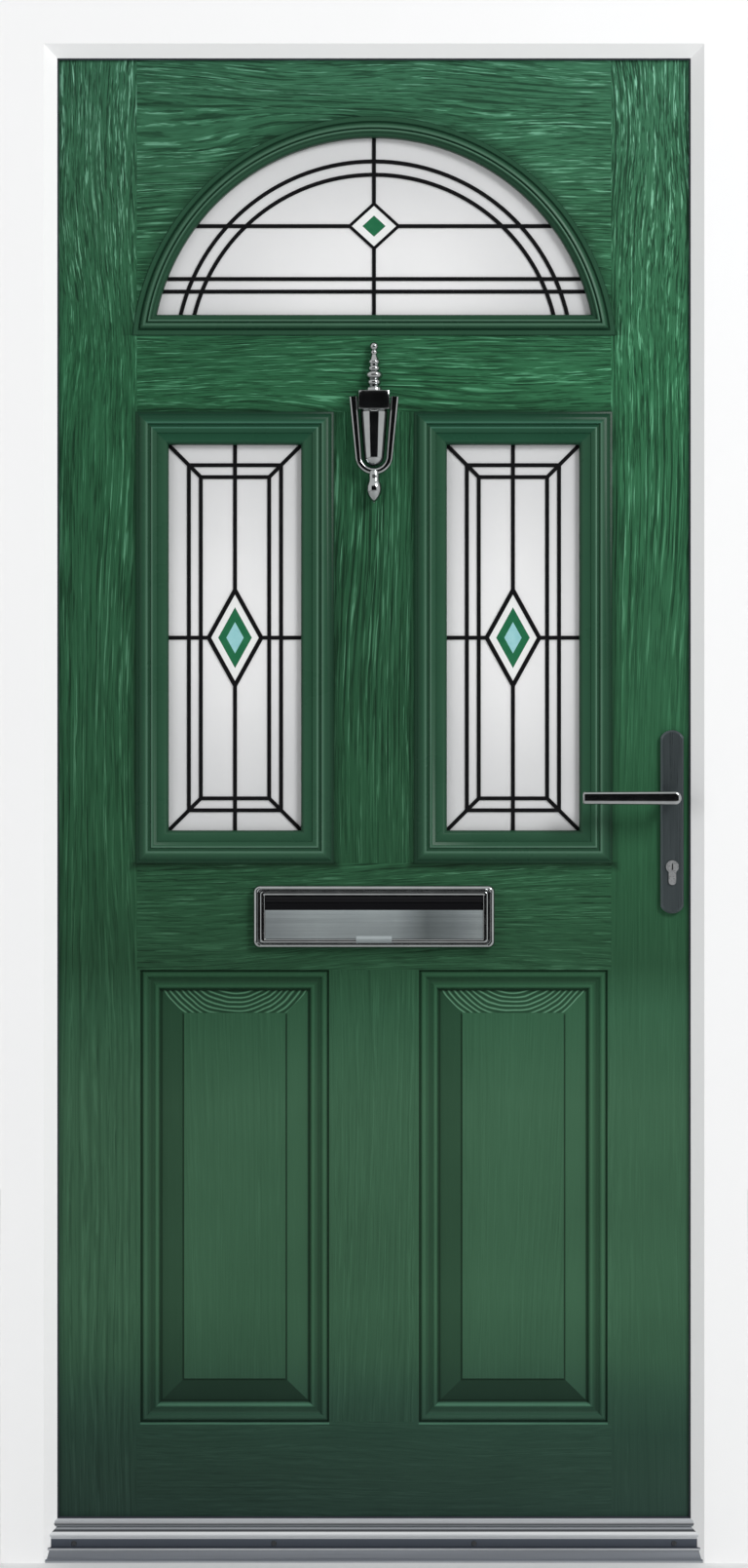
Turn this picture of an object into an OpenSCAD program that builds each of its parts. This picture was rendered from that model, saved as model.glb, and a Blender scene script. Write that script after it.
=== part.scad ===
// Panelled front door hung in its frame. +Z is up, +X is to the right seen from outside, -Y is outside.
// The origin lies on the floor under the middle of the threshold, at half the depth of the frame.

/* [Frame] */
// Overall width of the frame
frame_w = 1000; // [970:1:1060]
// Overall height of the frame, threshold included
frame_h = 2090; // [2080:1:2200]
// Depth of the frame from outside to inside
frame_d = 70; // [68:1:78]
// Width of the frame from its outer edge to the rebate
frame_face = 60; // [56:1:66]
// Width of the lip that the leaf closes against
lip_w = 15; // [14:0.5:17]
// Width of the bevel seen from outside
bevel_w = 17; // [12:1:20]
// Depth of the bevel
bevel_d = 15; // [12:0.5:17]
// Thickness of the lip at its edge
lip_t = 3; // [2.5:0.5:4]
// Wall of the extruded frame section
frame_wall = 3; // [2.4:0.1:3.6]
// Radius of the frame fixing holes
fixing_r = 5; // [4:0.25:6]
// Distance of the end fixings from the foot and the head of the frame
fixing_end = 200; // [150:5:300]
// Height of the second frame fixing
fixing_mid = 700; // [640:5:780]
// Distance between the two middle fixings
fixing_mid_span = 620; // [560:5:660]

/* [Threshold] */
// Height of the inner platform under the leaf
platform_h = 44; // [42:1:47]
// Height of the weather upstand above the platform
upstand_h = 13; // [11:1:15]
// Wall of the threshold extrusion
threshold_wall = 3; // [2.5:0.5:4]
// Radius of a threshold screw head
screw_r = 3.6; // [3:0.1:4.2]
// Distance of the end screws from the ends of the threshold
screw_end = 38; // [30:1:60]

/* [Leaf] */
// Thickness of the leaf
leaf_t = 44; // [42:1:46]
// Gap between the leaf and the rebate
leaf_gap = 5; // [5:0.5:7]
// Gap between the leaf and the threshold platform
leaf_floor_gap = 4; // [3:0.5:6]
// Space for the weather seal between the lip and the leaf
seal_space = 4; // [3:0.5:5]
// Clearance between a soft seal and the leaf
seal_clear = 0.3; // [0.2:0.05:0.5]
// Thickness of the moulded skins
skin_t = 2; // [1.6:0.1:2.4]
// Width of the hinge stile inside the leaf
hinge_stile_w = 45; // [40:1:60]
// Width of the lock stile inside the leaf
lock_stile_w = 68; // [64:1:74]
// Height of the top and bottom rails inside the leaf
rail_h = 50; // [40:1:70]

// Visible width of each stile, from the edge of the leaf to the lights
stile_w = 115; // [112:1:122]
// Visible width of the muntin between the tall lights
muntin_w = 108; // [100:1:116]

/* [Lower panels] */
// How much narrower a lower panel is than the light above it, on each side
panel_inset = 6.5; // [2:0.5:12]
// Height of the foot of the lower panels above the foot of the leaf
panel_low = 137; // [130:1:160]
// Height of a lower panel
panel_h = 607; // [560:1:615]
// Depth of the quirk around the raised field
quirk_d = 9.5; // [8:0.5:10]
// Depth of the raised field below the face
field_d = 2.5; // [1.5:0.5:4]

/* [Lights] */
// Height of the rail between the lower panels and the tall lights
lock_rail_h = 143.5; // [138:0.5:160]
// Height of the rail between the tall lights and the arched light
cross_rail_h = 102.5; // [96:0.5:110]
// Face width of a tall light's cassette
cassette_w = 44; // [42:1:48]
// Distance from the crown of the arched light to the top of the leaf
crown_h = 87; // [80:1:100]
// How much wider the arched light is than the two lights under it, on each side
arch_past = 6; // [0:0.5:10]
// Height of the arched cassette's base above the arch's centre
arch_rise = 32; // [28:1:36]
// Face width of the arched light's cassette
arch_band = 28; // [28:0.5:30]
// How far the cassettes stand proud of the leaf
cassette_proud = 9; // [8:0.5:10]
// Depth of the panes' faces below the face of the leaf
pane_sink = 10; // [9:0.5:11]
// Thickness of a pane
pane_t = 4; // [3:0.5:5]
// Width of the lead cames
came_w = 5.2; // [4:0.2:6]
// Thickness of the lead cames
came_t = 1.4; // [1:0.1:1.8]

/* [Hinges] */
// Outer radius of a hinge knuckle
knuckle_r = 8.7; // [8:0.1:10]
// Radius of a hinge pin
hinge_pin_r = 5; // [4:0.25:6]
// Length of a whole hinge
hinge_h = 100; // [90:1:120]
// Running clearance of pins and shafts in their bores
running = 0.05; // [0.03:0.01:0.08]
// Clearance between moving faces
moving = 0.3; // [0.25:0.05:0.5]

/* [Lock and handle] */
// Distance of the spindle and cylinder from the leaf's lock edge
backset = 35; // [33:0.5:37]
// Height of the lever spindle
spindle_z = 1023; // [1015:1:1030]
// Distance from the spindle down to the key cylinder
lever_to_key = 92; // [90:1:95]
// Width of a handle backplate
backplate_w = 31; // [30:0.5:34]
// Height of a handle backplate
backplate_h = 246; // [240:1:250]
// Thickness of a handle backplate
backplate_t = 9; // [8:0.5:10]
// Length of a lever from its spindle to its tip
lever_l = 122; // [110:1:130]
// Projection of a lever from the leaf
lever_out = 58; // [52:1:62]
// Side of the square spindle
spindle_s = 8; // [7:0.5:8]
// Travel of the latch bolt
latch_throw = 12; // [11:0.5:13]
// Travel of the deadbolt
bolt_throw = 18; // [16:0.5:18]
// Width of the lock faceplate
faceplate_w = 20; // [18:0.5:22]
// Distance of the upper hook from the top of the leaf
hook_from_top = 442; // [420:1:460]
// Distance of the lower hook from the foot of the leaf
hook_from_foot = 323; // [300:1:340]
// Length of the faceplate past each hook
faceplate_past = 124; // [60:1:140]

/* [Letterplate] */
// Width of the letterplate
plate_w = 324; // [316:1:330]
// Height of the letterplate
plate_h = 84; // [80:1:88]
// Height of the middle of the letterplate above the lower panels
plate_rise = 72; // [68:1:76]
// Width of the letter slot
slot_w = 256; // [240:1:260]
// Height of the letter slot
slot_h = 40; // [36:1:42]
// How far the letterplate stands proud of the leaf
plate_t = 13.5; // [13.5:0.5:15]

/* [Knocker] */
// Distance of the knocker's pivot below the arched light
knocker_drop = 89; // [84:1:94]
// Distance between the arms of the knocker at the pivot
knocker_w = 56; // [54:1:60]
// Length of the knocker from its pivot to the bend
knocker_l = 74; // [72:1:80]
// Radius of the knocker's bend
knocker_bend = 21; // [19:0.5:23]
// Radius of the knocker's rod at the bend
knocker_rod = 4.6; // [4.2:0.1:5.2]
// Radius of the knocker's pivot pin
knocker_pin_r = 3; // [2.5:0.25:3.5]

/* [Hidden] */
$fn = 64;
// Overshoot of a cut past the face that it opens
over = 2;
// Clearance of fitted pieces that don't move
seat = 0.2;

// Frame and leaf planes
front_y = -frame_d / 2;
back_y = frame_d / 2;
sight = frame_face + lip_w;
lip_back = front_y + bevel_d + lip_t;
rebate_x = frame_w / 2 - frame_face;
leaf_y0 = lip_back + seal_space;
leaf_y1 = leaf_y0 + leaf_t;
leaf_mid = (leaf_y0 + leaf_y1) / 2;
leaf_x = rebate_x - leaf_gap;
leaf_z0 = platform_h + leaf_floor_gap;
leaf_top = frame_h - frame_face - leaf_gap;
fixing_y = (lip_back + back_y) / 2;
fixing_zs = [fixing_end, fixing_mid, fixing_mid + fixing_mid_span, frame_h - fixing_end];

// Frame section: points are [distance in from the outer edge, depth]
frame_section = [
    [0, front_y], [sight - bevel_w, front_y], [sight, front_y + bevel_d], [sight, lip_back],
    [frame_face, lip_back], [frame_face, back_y], [0, back_y]
];
web_u = frame_face / 2;
bevel_wall = frame_wall * sqrt(bevel_w ^ 2 + bevel_d ^ 2) / bevel_d;
function bevel_in(y) = sight - bevel_w + (y - front_y) * bevel_w / bevel_d - bevel_wall;

// Weather seal: points are [inward, depth behind the lip]
seal_w = 10;
seal_show = 2;
seal_h = seal_space - seal_clear;
seal_section = [
    [0, 0], [0, 1], [2.5, seal_h / 2], [4, seal_h], [8, seal_h], [seal_w, seal_h / 2], [seal_w, 0]
];

// Threshold section: points are [depth, height]
upstand_z = platform_h + upstand_h;
screw_z = 25;
screw_face_y = front_y + 8;
threshold_section = [
    [back_y, 0], [back_y, platform_h], [lip_back, platform_h], [lip_back, upstand_z],
    [lip_back - 3, upstand_z], [lip_back - 5.5, upstand_z - 2.5], [lip_back - 6.5, upstand_z - 6.5],
    [lip_back - 5.5, upstand_z - 9.5], [lip_back - 3.5, upstand_z - 11],
    [screw_face_y - 1.5, screw_z + 12], [screw_face_y - 1.5, screw_z + 9.5], [screw_face_y, screw_z + 8],
    [screw_face_y, screw_z - 5], [screw_face_y - 3.5, screw_z - 5.5], [screw_face_y - 4, screw_z - 8],
    [screw_face_y - 2, screw_z - 9.5], [screw_face_y - 4.5, 5], [front_y + 1, 4], [front_y + 0.5, 0]
];
screw_pitch = 2 * (rebate_x - screw_end) / 3;
screw_shank_r = 2;
screw_head_t = 1.6;
screw_slot = 0.8;
screw_shank_l = 8;

// Hinges: the knuckles stand just clear of the frame's inner face
hinge_x = -leaf_x - 2;
hinge_y = back_y + knuckle_r + moving;
hinge_flag_t = 3.2;
hinge_flag_w = 44;
hinge_inset = 190;
hinge_zs = [leaf_z0 + hinge_inset, (leaf_z0 + leaf_top) / 2, leaf_top - hinge_inset];

// Layout of the lights and the lower panels on the leaf
light_w = leaf_x - stile_w - muntin_w / 2;
bay_x = (muntin_w + light_w) / 2;
panel_w = light_w - 2 * panel_inset;
panel_z = leaf_z0 + panel_low + panel_h / 2;
lock_rail_z = leaf_z0 + panel_low + panel_h;
plate_z = lock_rail_z + plate_rise;
light_foot_z = lock_rail_z + lock_rail_h;
arch_r = leaf_x - stile_w + arch_past;
arch_z = leaf_top - crown_h - arch_r;
arch_base_z = arch_z + arch_rise;
light_h = arch_base_z - cross_rail_h - light_foot_z;
light_z = light_foot_z + light_h / 2;

// Points of a moulding's round member: centre, radius and the angles that it runs between
function member(centre, radius, from, to) =
    [for (i = [0 : 5]) centre + radius * [cos(from + (to - from) * i / 5), sin(from + (to - from) * i / 5)]];

// Lower panel moulding: points are [inward, height above the face], from the edge to the raised field
moulding_w = 28.5;
slope_w = 29;
field_step = 1.6;
panel_section = concat(
    [[0, 0], [1.2, -3.4]],
    member([6.2, -5], 4.4, 155, 20),
    member([14.9, -1.2], 5.2, 212, 318),
    member([21.6, -6.3], 3.2, 140, 0),
    [[26, -quirk_d], [moulding_w, -quirk_d], [moulding_w + slope_w - 0.5, -field_d - field_step],
        [moulding_w + slope_w, -field_d]]
);

// Lights
cassette_aperture = cassette_w - 13;
arch_aperture = arch_band - 10;
glass_edge = 3;
arch_glass_r = arch_r - arch_band;
spacer_w = 6;
// Cassette section: points are [inward, height above the face]
cassette_leg = 12;
cassette_section = concat(
    [[0, 0], [0, 1]],
    member([16, cassette_proud - 16.5], 16.5, 145, 90),
    [[17.2, cassette_proud - 3], [20, cassette_proud - 3]],
    member([23, cassette_proud - 2.8], 2.8, 175, 50),
    [[28.5, cassette_proud - 2.4], [29.2, cassette_proud - 3.8]],
    member([36, cassette_proud - 12.8], 8, 84, 4),
    [[cassette_w, -pane_sink], [cassette_w - cassette_leg, -pane_sink], [cassette_w - cassette_leg, 0]]
);
arch_leg = 9;
arch_section = concat(
    [[0, 0], [0, 1.2], [1, 2.2], [6, 2.2], [7, 1.2], [8.2, 1.2]],
    member([16.5, cassette_proud - 9.5], 8.2, 165, 95),
    [[16.2, cassette_proud - 3.2], [17.8, cassette_proud - 3.2]],
    member([19.8, cassette_proud - 3.1], 1.9, 170, 45),
    member([20.5, cassette_proud - 11.9], 7.5, 78, 4),
    [[arch_band, -pane_sink], [arch_band - arch_leg, -pane_sink], [arch_band - arch_leg, 0]]
);

// Clear sight of each light, and its lead lozenge: half width and half height
tall_sight = [light_w / 2 - cassette_w, light_h / 2 - cassette_w];
tall_lozenge = [tall_sight[0] * 0.41, tall_sight[1] * 0.255];
arch_lozenge = [arch_glass_r * 0.114, arch_glass_r * 0.104];
arch_lozenge_z = arch_z + arch_glass_r * 0.604;
// Share of a lozenge that its lead rim leaves open
lead_share = 0.88;

// Lock and furniture
lock_x = leaf_x - backset;
key_z = spindle_z - lever_to_key;
backplate_z = spindle_z - 32;
backplate_bow = 10;
neck_r = 8.5;
lever_heel_r = 9;
lever_tip_r = 8.2;
lever_corner_r = 3;
spindle_out = 30;
faceplate_t = 3;
hook_zs = [leaf_top - hook_from_top, leaf_z0 + hook_from_foot];
key_r = 8.5;
key_lobe = 10;
key_drop = 24.5;
key_out = 12;
plug_r = 6.4;
cam_r = 13;
cam_l = 10;
follower_r = 10;
case_t = 15;
case_back = 20;
case_top = spindle_z + 52;
case_low = key_z - 34;
// Latch and deadbolt: heights, [depth, height] of their sections and lengths
latch_z = spindle_z + 30;
latch_s = [12, 20];
latch_l = 40;
bolt_z = key_z + 36;
bolt_s = [12, 26];
bolt_l = 34;
keep_t = 2.5;
keep_w = 24;
// Hooks: radii of the bow and the place of the pivot behind the edge of the leaf
hook_t = 8;
hook_in = 15;
hook_out = 28;
hook_pivot_in = 12;
hook_hub_r = 7.5;
hook_case_reach = hook_out + 4;
hook_pin_r = 3;
hook_slot_low = sqrt(hook_in ^ 2 - hook_pivot_in ^ 2) - moving;
rail_s = [2.5, 9];
rail_travel = 16;
rail_x0 = leaf_x - faceplate_t - moving - rail_s[0];
through_r = 3;
through_head_r = 5;
bolt_depth = 5;
through_z = [spindle_z + 62, key_z - 44];

// Letterplate
letter_web = 2.5;
flap_w = plate_w - 32;
flap_t = 3;
flap_pin_r = 2;
flap_pin_l = 6;
flap_roll_r = 5;
flap_lip_w = 48;
flap_sink = 0.5;
flap_rise = 23;
flap_fall = 30;
flap_y = leaf_y0 - plate_t + flap_roll_r + flap_sink;
flap_z = plate_z + flap_rise;
flap_low = plate_z - flap_fall;
sleeve_wall = 1.6;

// Knocker: distances below the pivot and out from the leaf
knocker_axis_out = 8;
knocker_out = 17;
knocker_y = leaf_y0 - knocker_out;
knocker_z = arch_base_z - knocker_drop;
knocker_tail_top = knocker_l + knocker_bend;
knocker_tail_mid = 23;
knocker_tail_r = 10.7;

// Box between two corners
module block(low, high) {
    translate(low) cube(high - low);
}

// Flat outline in X and Z, carried through the depth from y0 to y1
module through_y(y0, y1) {
    translate([0, y1, 0]) rotate([90, 0, 0]) linear_extrude(y1 - y0) children();
}

// Flat section in Y and Z, carried along X from x0 to x1
module along_x(x0, x1) {
    translate([x0, 0, 0]) rotate([90, 0, 90]) linear_extrude(x1 - x0) children();
}

// Solid turned about an axis that points outside; points are [radius, height above y]
module turned_out(y, points) {
    translate([0, y, 0]) rotate([90, 0, 0]) rotate_extrude() polygon(points);
}

// The same piece seen from inside: mirrored about the middle plane of the leaf
module inside_copy() {
    translate([0, 2 * leaf_mid, 0]) mirror([0, 1, 0]) children();
}

// One straight length of moulding along X with inward as +Z, mitred at each end
module mitred_side(length, section, width) {
    reach = 4 * frame_d;
    intersection() {
        along_x(-length / 2, length / 2) polygon([for (p = section) [p[1], p[0]]]);
        through_y(-reach, reach) polygon([
            [-length / 2, 0], [length / 2, 0], [length / 2 - width, width], [width - length / 2, width]
        ]);
    }
}

// Four mitred lengths round a rectangle that is centred on the origin
module mitred_loop(w, h, section, width) {
    translate([0, 0, -h / 2]) mitred_side(w, section, width);
    translate([0, 0, h / 2]) rotate([0, 180, 0]) mitred_side(w, section, width);
    translate([-w / 2, 0, 0]) rotate([0, 90, 0]) mitred_side(h, section, width);
    translate([w / 2, 0, 0]) rotate([0, -90, 0]) mitred_side(h, section, width);
}

// Hollow section of the frame with its three chambers
module frame_profile() {
    difference() {
        polygon(frame_section);
        polygon([
            [frame_wall, front_y + frame_wall], [web_u - frame_wall / 2, front_y + frame_wall],
            [web_u - frame_wall / 2, back_y - frame_wall], [frame_wall, back_y - frame_wall]
        ]);
        polygon([
            [web_u + frame_wall / 2, lip_back], [frame_face - frame_wall, lip_back],
            [frame_face - frame_wall, back_y - frame_wall], [web_u + frame_wall / 2, back_y - frame_wall]
        ]);
        polygon([
            [web_u + frame_wall / 2, front_y + frame_wall],
            [bevel_in(front_y + frame_wall), front_y + frame_wall],
            [bevel_in(lip_back - frame_wall), lip_back - frame_wall],
            [web_u + frame_wall / 2, lip_back - frame_wall]
        ]);
    }
}

// Upright of the frame on the left, mitred at the head and drilled for its wall fixings
module jamb_bar() {
    difference() {
        intersection() {
            translate([-frame_w / 2, 0, 0]) linear_extrude(frame_h) frame_profile();
            through_y(-frame_d, frame_d) polygon([
                [-frame_w / 2, 0], [-frame_w / 2, frame_h], [sight - frame_w / 2, frame_h - sight],
                [sight - frame_w / 2, 0]
            ]);
        }
        for (z = fixing_zs) {
            translate([-frame_w / 2 - over, fixing_y, z])
                rotate([0, 90, 0]) cylinder(h = frame_face + 2 * over, r = fixing_r);
        }
    }
}

module hinge_jamb() {
    color("white") jamb_bar();
}

// The latch, deadbolt and hooks enter the chamber of this upright through its rebate wall
module lock_jamb() {
    color("white") difference() {
        mirror([1, 0, 0]) jamb_bar();
        bolt_windows(rebate_x - over, rebate_x + frame_wall + over, 1.5);
    }
}

// Openings for the latch, the deadbolt and the two hooks, larger than each by room
module bolt_windows(x0, x1, room) {
    for (spec = [[latch_z, latch_s], [bolt_z, bolt_s]]) {
        half = spec[1] / 2 + [room, room];
        block([x0, leaf_mid - half[0], spec[0] - half[1]], [x1, leaf_mid + half[0], spec[0] + half[1]]);
    }
    for (z = hook_zs) {
        block([x0, leaf_mid - hook_t / 2 - room, z - room],
            [x1, leaf_mid + hook_t / 2 + room, z + hook_out + room]);
    }
}

module head_rail() {
    color("white") intersection() {
        along_x(-frame_w / 2, frame_w / 2) translate([0, frame_h]) rotate(-90) frame_profile();
        through_y(-frame_d, frame_d) polygon([
            [-frame_w / 2, frame_h], [frame_w / 2, frame_h], [frame_w / 2 - sight, frame_h - sight],
            [sight - frame_w / 2, frame_h - sight]
        ]);
    }
}

// Extruded threshold, scribed round the two uprights and drilled for its screws
module threshold() {
    chamber_mid = (lip_back + back_y) / 2;
    color("lightslategray") difference() {
        along_x(-rebate_x, rebate_x) difference() {
            polygon(threshold_section);
            polygon([
                [lip_back, threshold_wall], [chamber_mid - threshold_wall / 2, threshold_wall],
                [chamber_mid - threshold_wall / 2, platform_h - threshold_wall],
                [lip_back, platform_h - threshold_wall]
            ]);
            polygon([
                [chamber_mid + threshold_wall / 2, threshold_wall], [back_y - threshold_wall, threshold_wall],
                [back_y - threshold_wall, platform_h - threshold_wall],
                [chamber_mid + threshold_wall / 2, platform_h - threshold_wall]
            ]);
        }
        for (side = [0, 1]) {
            mirror([side, 0, 0]) translate([-frame_w / 2, 0, -over])
                linear_extrude(upstand_z + 2 * over) polygon(frame_section);
        }
        threshold_screw_places() cylinder(h = screw_shank_l + over, r = screw_shank_r + running);
    }
}

// Puts a screw, pointing into the threshold, at each of its places
module threshold_screw_places() {
    for (i = [-1.5 : 1 : 1.5]) {
        translate([i * screw_pitch, screw_face_y, screw_z]) rotate([-90, 0, 0]) children();
    }
}

module threshold_screws() {
    color("dimgray") threshold_screw_places() difference() {
        union() {
            cylinder(h = screw_shank_l, r = screw_shank_r);
            translate([0, 0, -screw_head_t]) cylinder(h = screw_head_t, r1 = screw_r - 0.8, r2 = screw_r);
        }
        for (turn = [0, 90]) {
            rotate(turn) translate([-screw_r / 2, -screw_slot / 2, -screw_head_t - over])
                cube([screw_r, screw_slot, over + screw_head_t / 2]);
        }
    }
}

// Black bulb seal round all four sides, against the back of the lip and of the upstand
module frame_seal() {
    half_w = frame_w / 2 - sight - seal_show + seal_w;
    high = frame_h - sight - seal_show + seal_w;
    low = upstand_z + seal_show - seal_w;
    color("black") translate([0, lip_back, (high + low) / 2])
        mitred_loop(2 * half_w, high - low, seal_section, seal_w);
}

// Flag and knuckle of one hinge half: dir is -1 for the frame's half and 1 for the leaf's
module hinge_half(dir, face_y, low, high) {
    reach = hinge_y - face_y - knuckle_r * 0.4;
    difference() {
        union() {
            block([min(dir * knuckle_r, dir * hinge_flag_w), face_y - hinge_y, low],
                [max(dir * knuckle_r, dir * hinge_flag_w), face_y - hinge_y + hinge_flag_t, high]);
            block([min(0, dir * (knuckle_r + 4)), face_y - hinge_y, low],
                [max(0, dir * (knuckle_r + 4)), face_y - hinge_y + reach, high]);
            translate([0, 0, low]) cylinder(h = high - low, r = knuckle_r);
        }
        translate([0, 0, low - over]) cylinder(h = high - low + 2 * over, r = hinge_pin_r + running);
    }
}

module hinge_frame_flags() {
    color("white") for (z = hinge_zs) {
        translate([hinge_x, hinge_y, z]) hinge_half(-1, back_y, -hinge_h / 2, -moving / 2);
    }
}

module hinge_leaf_flags() {
    color("white") for (z = hinge_zs) {
        translate([hinge_x, hinge_y, z]) hinge_half(1, leaf_y1, moving / 2, hinge_h / 2);
    }
}

// Each pin has a cap at its foot and at its head
module hinge_pins() {
    cap_t = 4;
    color("white") for (z = hinge_zs) {
        translate([hinge_x, hinge_y, z]) {
            translate([0, 0, -hinge_h / 2 - cap_t])
                cylinder(h = hinge_h + 2 * cap_t + moving, r = hinge_pin_r);
            translate([0, 0, -hinge_h / 2 - cap_t]) cylinder(h = cap_t, r = knuckle_r);
            translate([0, 0, hinge_h / 2 + moving]) cylinder(h = cap_t, r = knuckle_r);
        }
    }
}

// Metal plates on the rebate that the latch, deadbolt and hooks pass through
module lock_keeps() {
    margin = 22;
    color("silver") difference() {
        for (span = [[bolt_z - bolt_s[1] / 2 - margin, latch_z + latch_s[1] / 2 + margin],
                [hook_zs[0] - margin, hook_zs[0] + hook_out + margin],
                [hook_zs[1] - margin, hook_zs[1] + hook_out + margin]]) {
            block([rebate_x - keep_t, leaf_mid - keep_w / 2, span[0]],
                [rebate_x, leaf_mid + keep_w / 2, span[1]]);
        }
        bolt_windows(rebate_x - keep_t - over, rebate_x + over, 1);
    }
}

// Hollow left by one moulded lower panel, measured inwards from the face
module panel_recess() {
    inner = moulding_w + slope_w;
    hollow = concat([for (p = panel_section) [p[0], -p[1]]], [[inner, -over], [0, -over]]);
    mitred_loop(panel_w, panel_h, hollow, inner);
    block([inner - panel_w / 2, -over, inner - panel_h / 2],
        [panel_w / 2 - inner, field_d, panel_h / 2 - inner]);
}

module panel_recesses(depth) {
    for (side = [-1, 1]) {
        translate([side * bay_x, leaf_y0 + depth, panel_z]) panel_recess();
    }
}

// Outline of a tall light, smaller than its cassette by inset on every side
module tall_outline(side, inset) {
    translate([side * bay_x, light_z]) square([light_w - 2 * inset, light_h - 2 * inset], center = true);
}

// Outline of the arched light, smaller than its cassette by inset on every side
module arch_outline(inset) {
    radius = arch_r - inset;
    intersection() {
        translate([0, arch_z]) circle(r = radius);
        translate([-radius, arch_base_z + inset]) square([2 * radius, 2 * radius]);
    }
}

// Key cylinder's profile, larger than the cylinder by room
module key_outline(room) {
    circle(r = key_r + room);
    translate([-key_lobe / 2 - room, -key_drop + key_lobe / 2])
        square([key_lobe + 2 * room, key_drop - key_lobe / 2]);
    translate([0, -key_drop + key_lobe / 2]) circle(r = key_lobe / 2 + room);
}

// Holes that the glazing, the letterplate and the handles need through the leaf
module leaf_cutouts() {
    through_y(leaf_y0 - over, leaf_y1 + over) {
        tall_outline(-1, cassette_aperture);
        tall_outline(1, cassette_aperture);
        arch_outline(arch_aperture);
        translate([0, plate_z])
            square([slot_w + 2 * (sleeve_wall + seat), slot_h + 2 * (sleeve_wall + seat)], center = true);
        translate([lock_x, spindle_z]) circle(r = follower_r);
        translate([lock_x, key_z]) key_outline(seat);
        for (z = through_z) {
            translate([lock_x, z]) circle(r = through_r + seat);
        }
    }
}

// Moulded skin: the leaf's face less the same face set back by the skin's thickness
module moulded_skin() {
    difference() {
        block([-leaf_x, leaf_y0, leaf_z0], [leaf_x, leaf_mid, leaf_top]);
        panel_recesses(0);
        difference() {
            block([-leaf_x - over, leaf_y0 + skin_t, leaf_z0 - over],
                [leaf_x + over, leaf_mid + over, leaf_top + over]);
            panel_recesses(skin_t);
        }
        leaf_cutouts();
    }
}

module outer_skin() {
    color("darkgreen") moulded_skin();
}

module inner_skin() {
    color("darkgreen") inside_copy() moulded_skin();
}

// Foam that fills the leaf between the skins, the stiles and the rails
module foam_core() {
    color("wheat") difference() {
        block([hinge_stile_w - leaf_x, leaf_y0 + skin_t, leaf_z0 + rail_h],
            [leaf_x - lock_stile_w, leaf_y1 - skin_t, leaf_top - rail_h]);
        panel_recesses(skin_t);
        inside_copy() panel_recesses(skin_t);
        leaf_cutouts();
    }
}

module hinge_stile() {
    color("burlywood")
        block([-leaf_x, leaf_y0 + skin_t, leaf_z0], [hinge_stile_w - leaf_x, leaf_y1 - skin_t, leaf_top]);
}

// Laminated stile, grooved for the faceplate and drive rail and pocketed for the lock
module lock_stile() {
    color("burlywood") difference() {
        block([leaf_x - lock_stile_w, leaf_y0 + skin_t, leaf_z0], [leaf_x, leaf_y1 - skin_t, leaf_top]);
        faceplate_blank(over);
        block([rail_x0 - moving, leaf_mid - rail_s[1] / 2 - moving, hook_zs[1]],
            [leaf_x, leaf_mid + rail_s[1] / 2 + moving, hook_zs[0]]);
        lock_case_blank(seat, over);
        for (z = hook_zs) {
            hook_case_blank(z, seat, over);
        }
        leaf_cutouts();
    }
}

module rail_block(z0, z1) {
    block([hinge_stile_w - leaf_x, leaf_y0 + skin_t, z0], [leaf_x - lock_stile_w, leaf_y1 - skin_t, z1]);
}

module top_rail() {
    color("burlywood") rail_block(leaf_top - rail_h, leaf_top);
}

module bottom_rail() {
    color("burlywood") rail_block(leaf_z0, leaf_z0 + rail_h);
}

// Four-sided cassette of one tall light, standing on the outer face
module tall_cassette(side) {
    section = [for (p = cassette_section) [p[0], -p[1]]];
    translate([side * bay_x, leaf_y0, light_z]) mitred_loop(light_w, light_h, section, cassette_w);
}

// Arched cassette: a turned bow on a straight base whose ends stop inside the bow's face and leg
module arch_cassette() {
    base_end = 0.5;
    face_r = arch_r - base_end;
    leg_r = arch_r - arch_band + arch_leg - base_end;
    leg_rise = arch_rise + arch_band - arch_leg;
    translate([0, leaf_y0, arch_z]) {
        intersection() {
            turned_out(0, [for (p = arch_section) [arch_r - p[0], p[1]]]);
            union() {
                block([-2 * arch_r, -frame_d, arch_rise], [2 * arch_r, 0, 2 * arch_r]);
                block([-2 * arch_r, -over, leg_rise], [2 * arch_r, frame_d, 2 * arch_r]);
            }
        }
        intersection() {
            along_x(-arch_r, arch_r) polygon([for (p = arch_section) [-p[1], arch_rise + p[0]]]);
            turned_out(0, [
                [0, -frame_d], [leg_r, -frame_d], [leg_r, 0], [face_r, 0], [face_r, frame_d], [0, frame_d]
            ]);
        }
    }
}

module arch_cassette_outer() {
    color("darkgreen") arch_cassette();
}

module arch_cassette_inner() {
    color("darkgreen") inside_copy() arch_cassette();
}

module left_cassette_outer() {
    color("darkgreen") tall_cassette(-1);
}

module left_cassette_inner() {
    color("darkgreen") inside_copy() tall_cassette(-1);
}

module right_cassette_outer() {
    color("darkgreen") tall_cassette(1);
}

module right_cassette_inner() {
    color("darkgreen") inside_copy() tall_cassette(1);
}

// A pane lies against the leg of its cassette
module pane() {
    through_y(leaf_y0 + pane_sink, leaf_y0 + pane_sink + pane_t) children();
}

module arch_outer_pane() {
    color("gainsboro") pane() arch_outline(arch_aperture + glass_edge);
}

module arch_inner_pane() {
    color("gainsboro") inside_copy() pane() arch_outline(arch_aperture + glass_edge);
}

module left_outer_pane() {
    color("gainsboro") pane() tall_outline(-1, cassette_aperture + glass_edge);
}

module left_inner_pane() {
    color("gainsboro") inside_copy() pane() tall_outline(-1, cassette_aperture + glass_edge);
}

module right_outer_pane() {
    color("gainsboro") pane() tall_outline(1, cassette_aperture + glass_edge);
}

module right_inner_pane() {
    color("gainsboro") inside_copy() pane() tall_outline(1, cassette_aperture + glass_edge);
}

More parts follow.
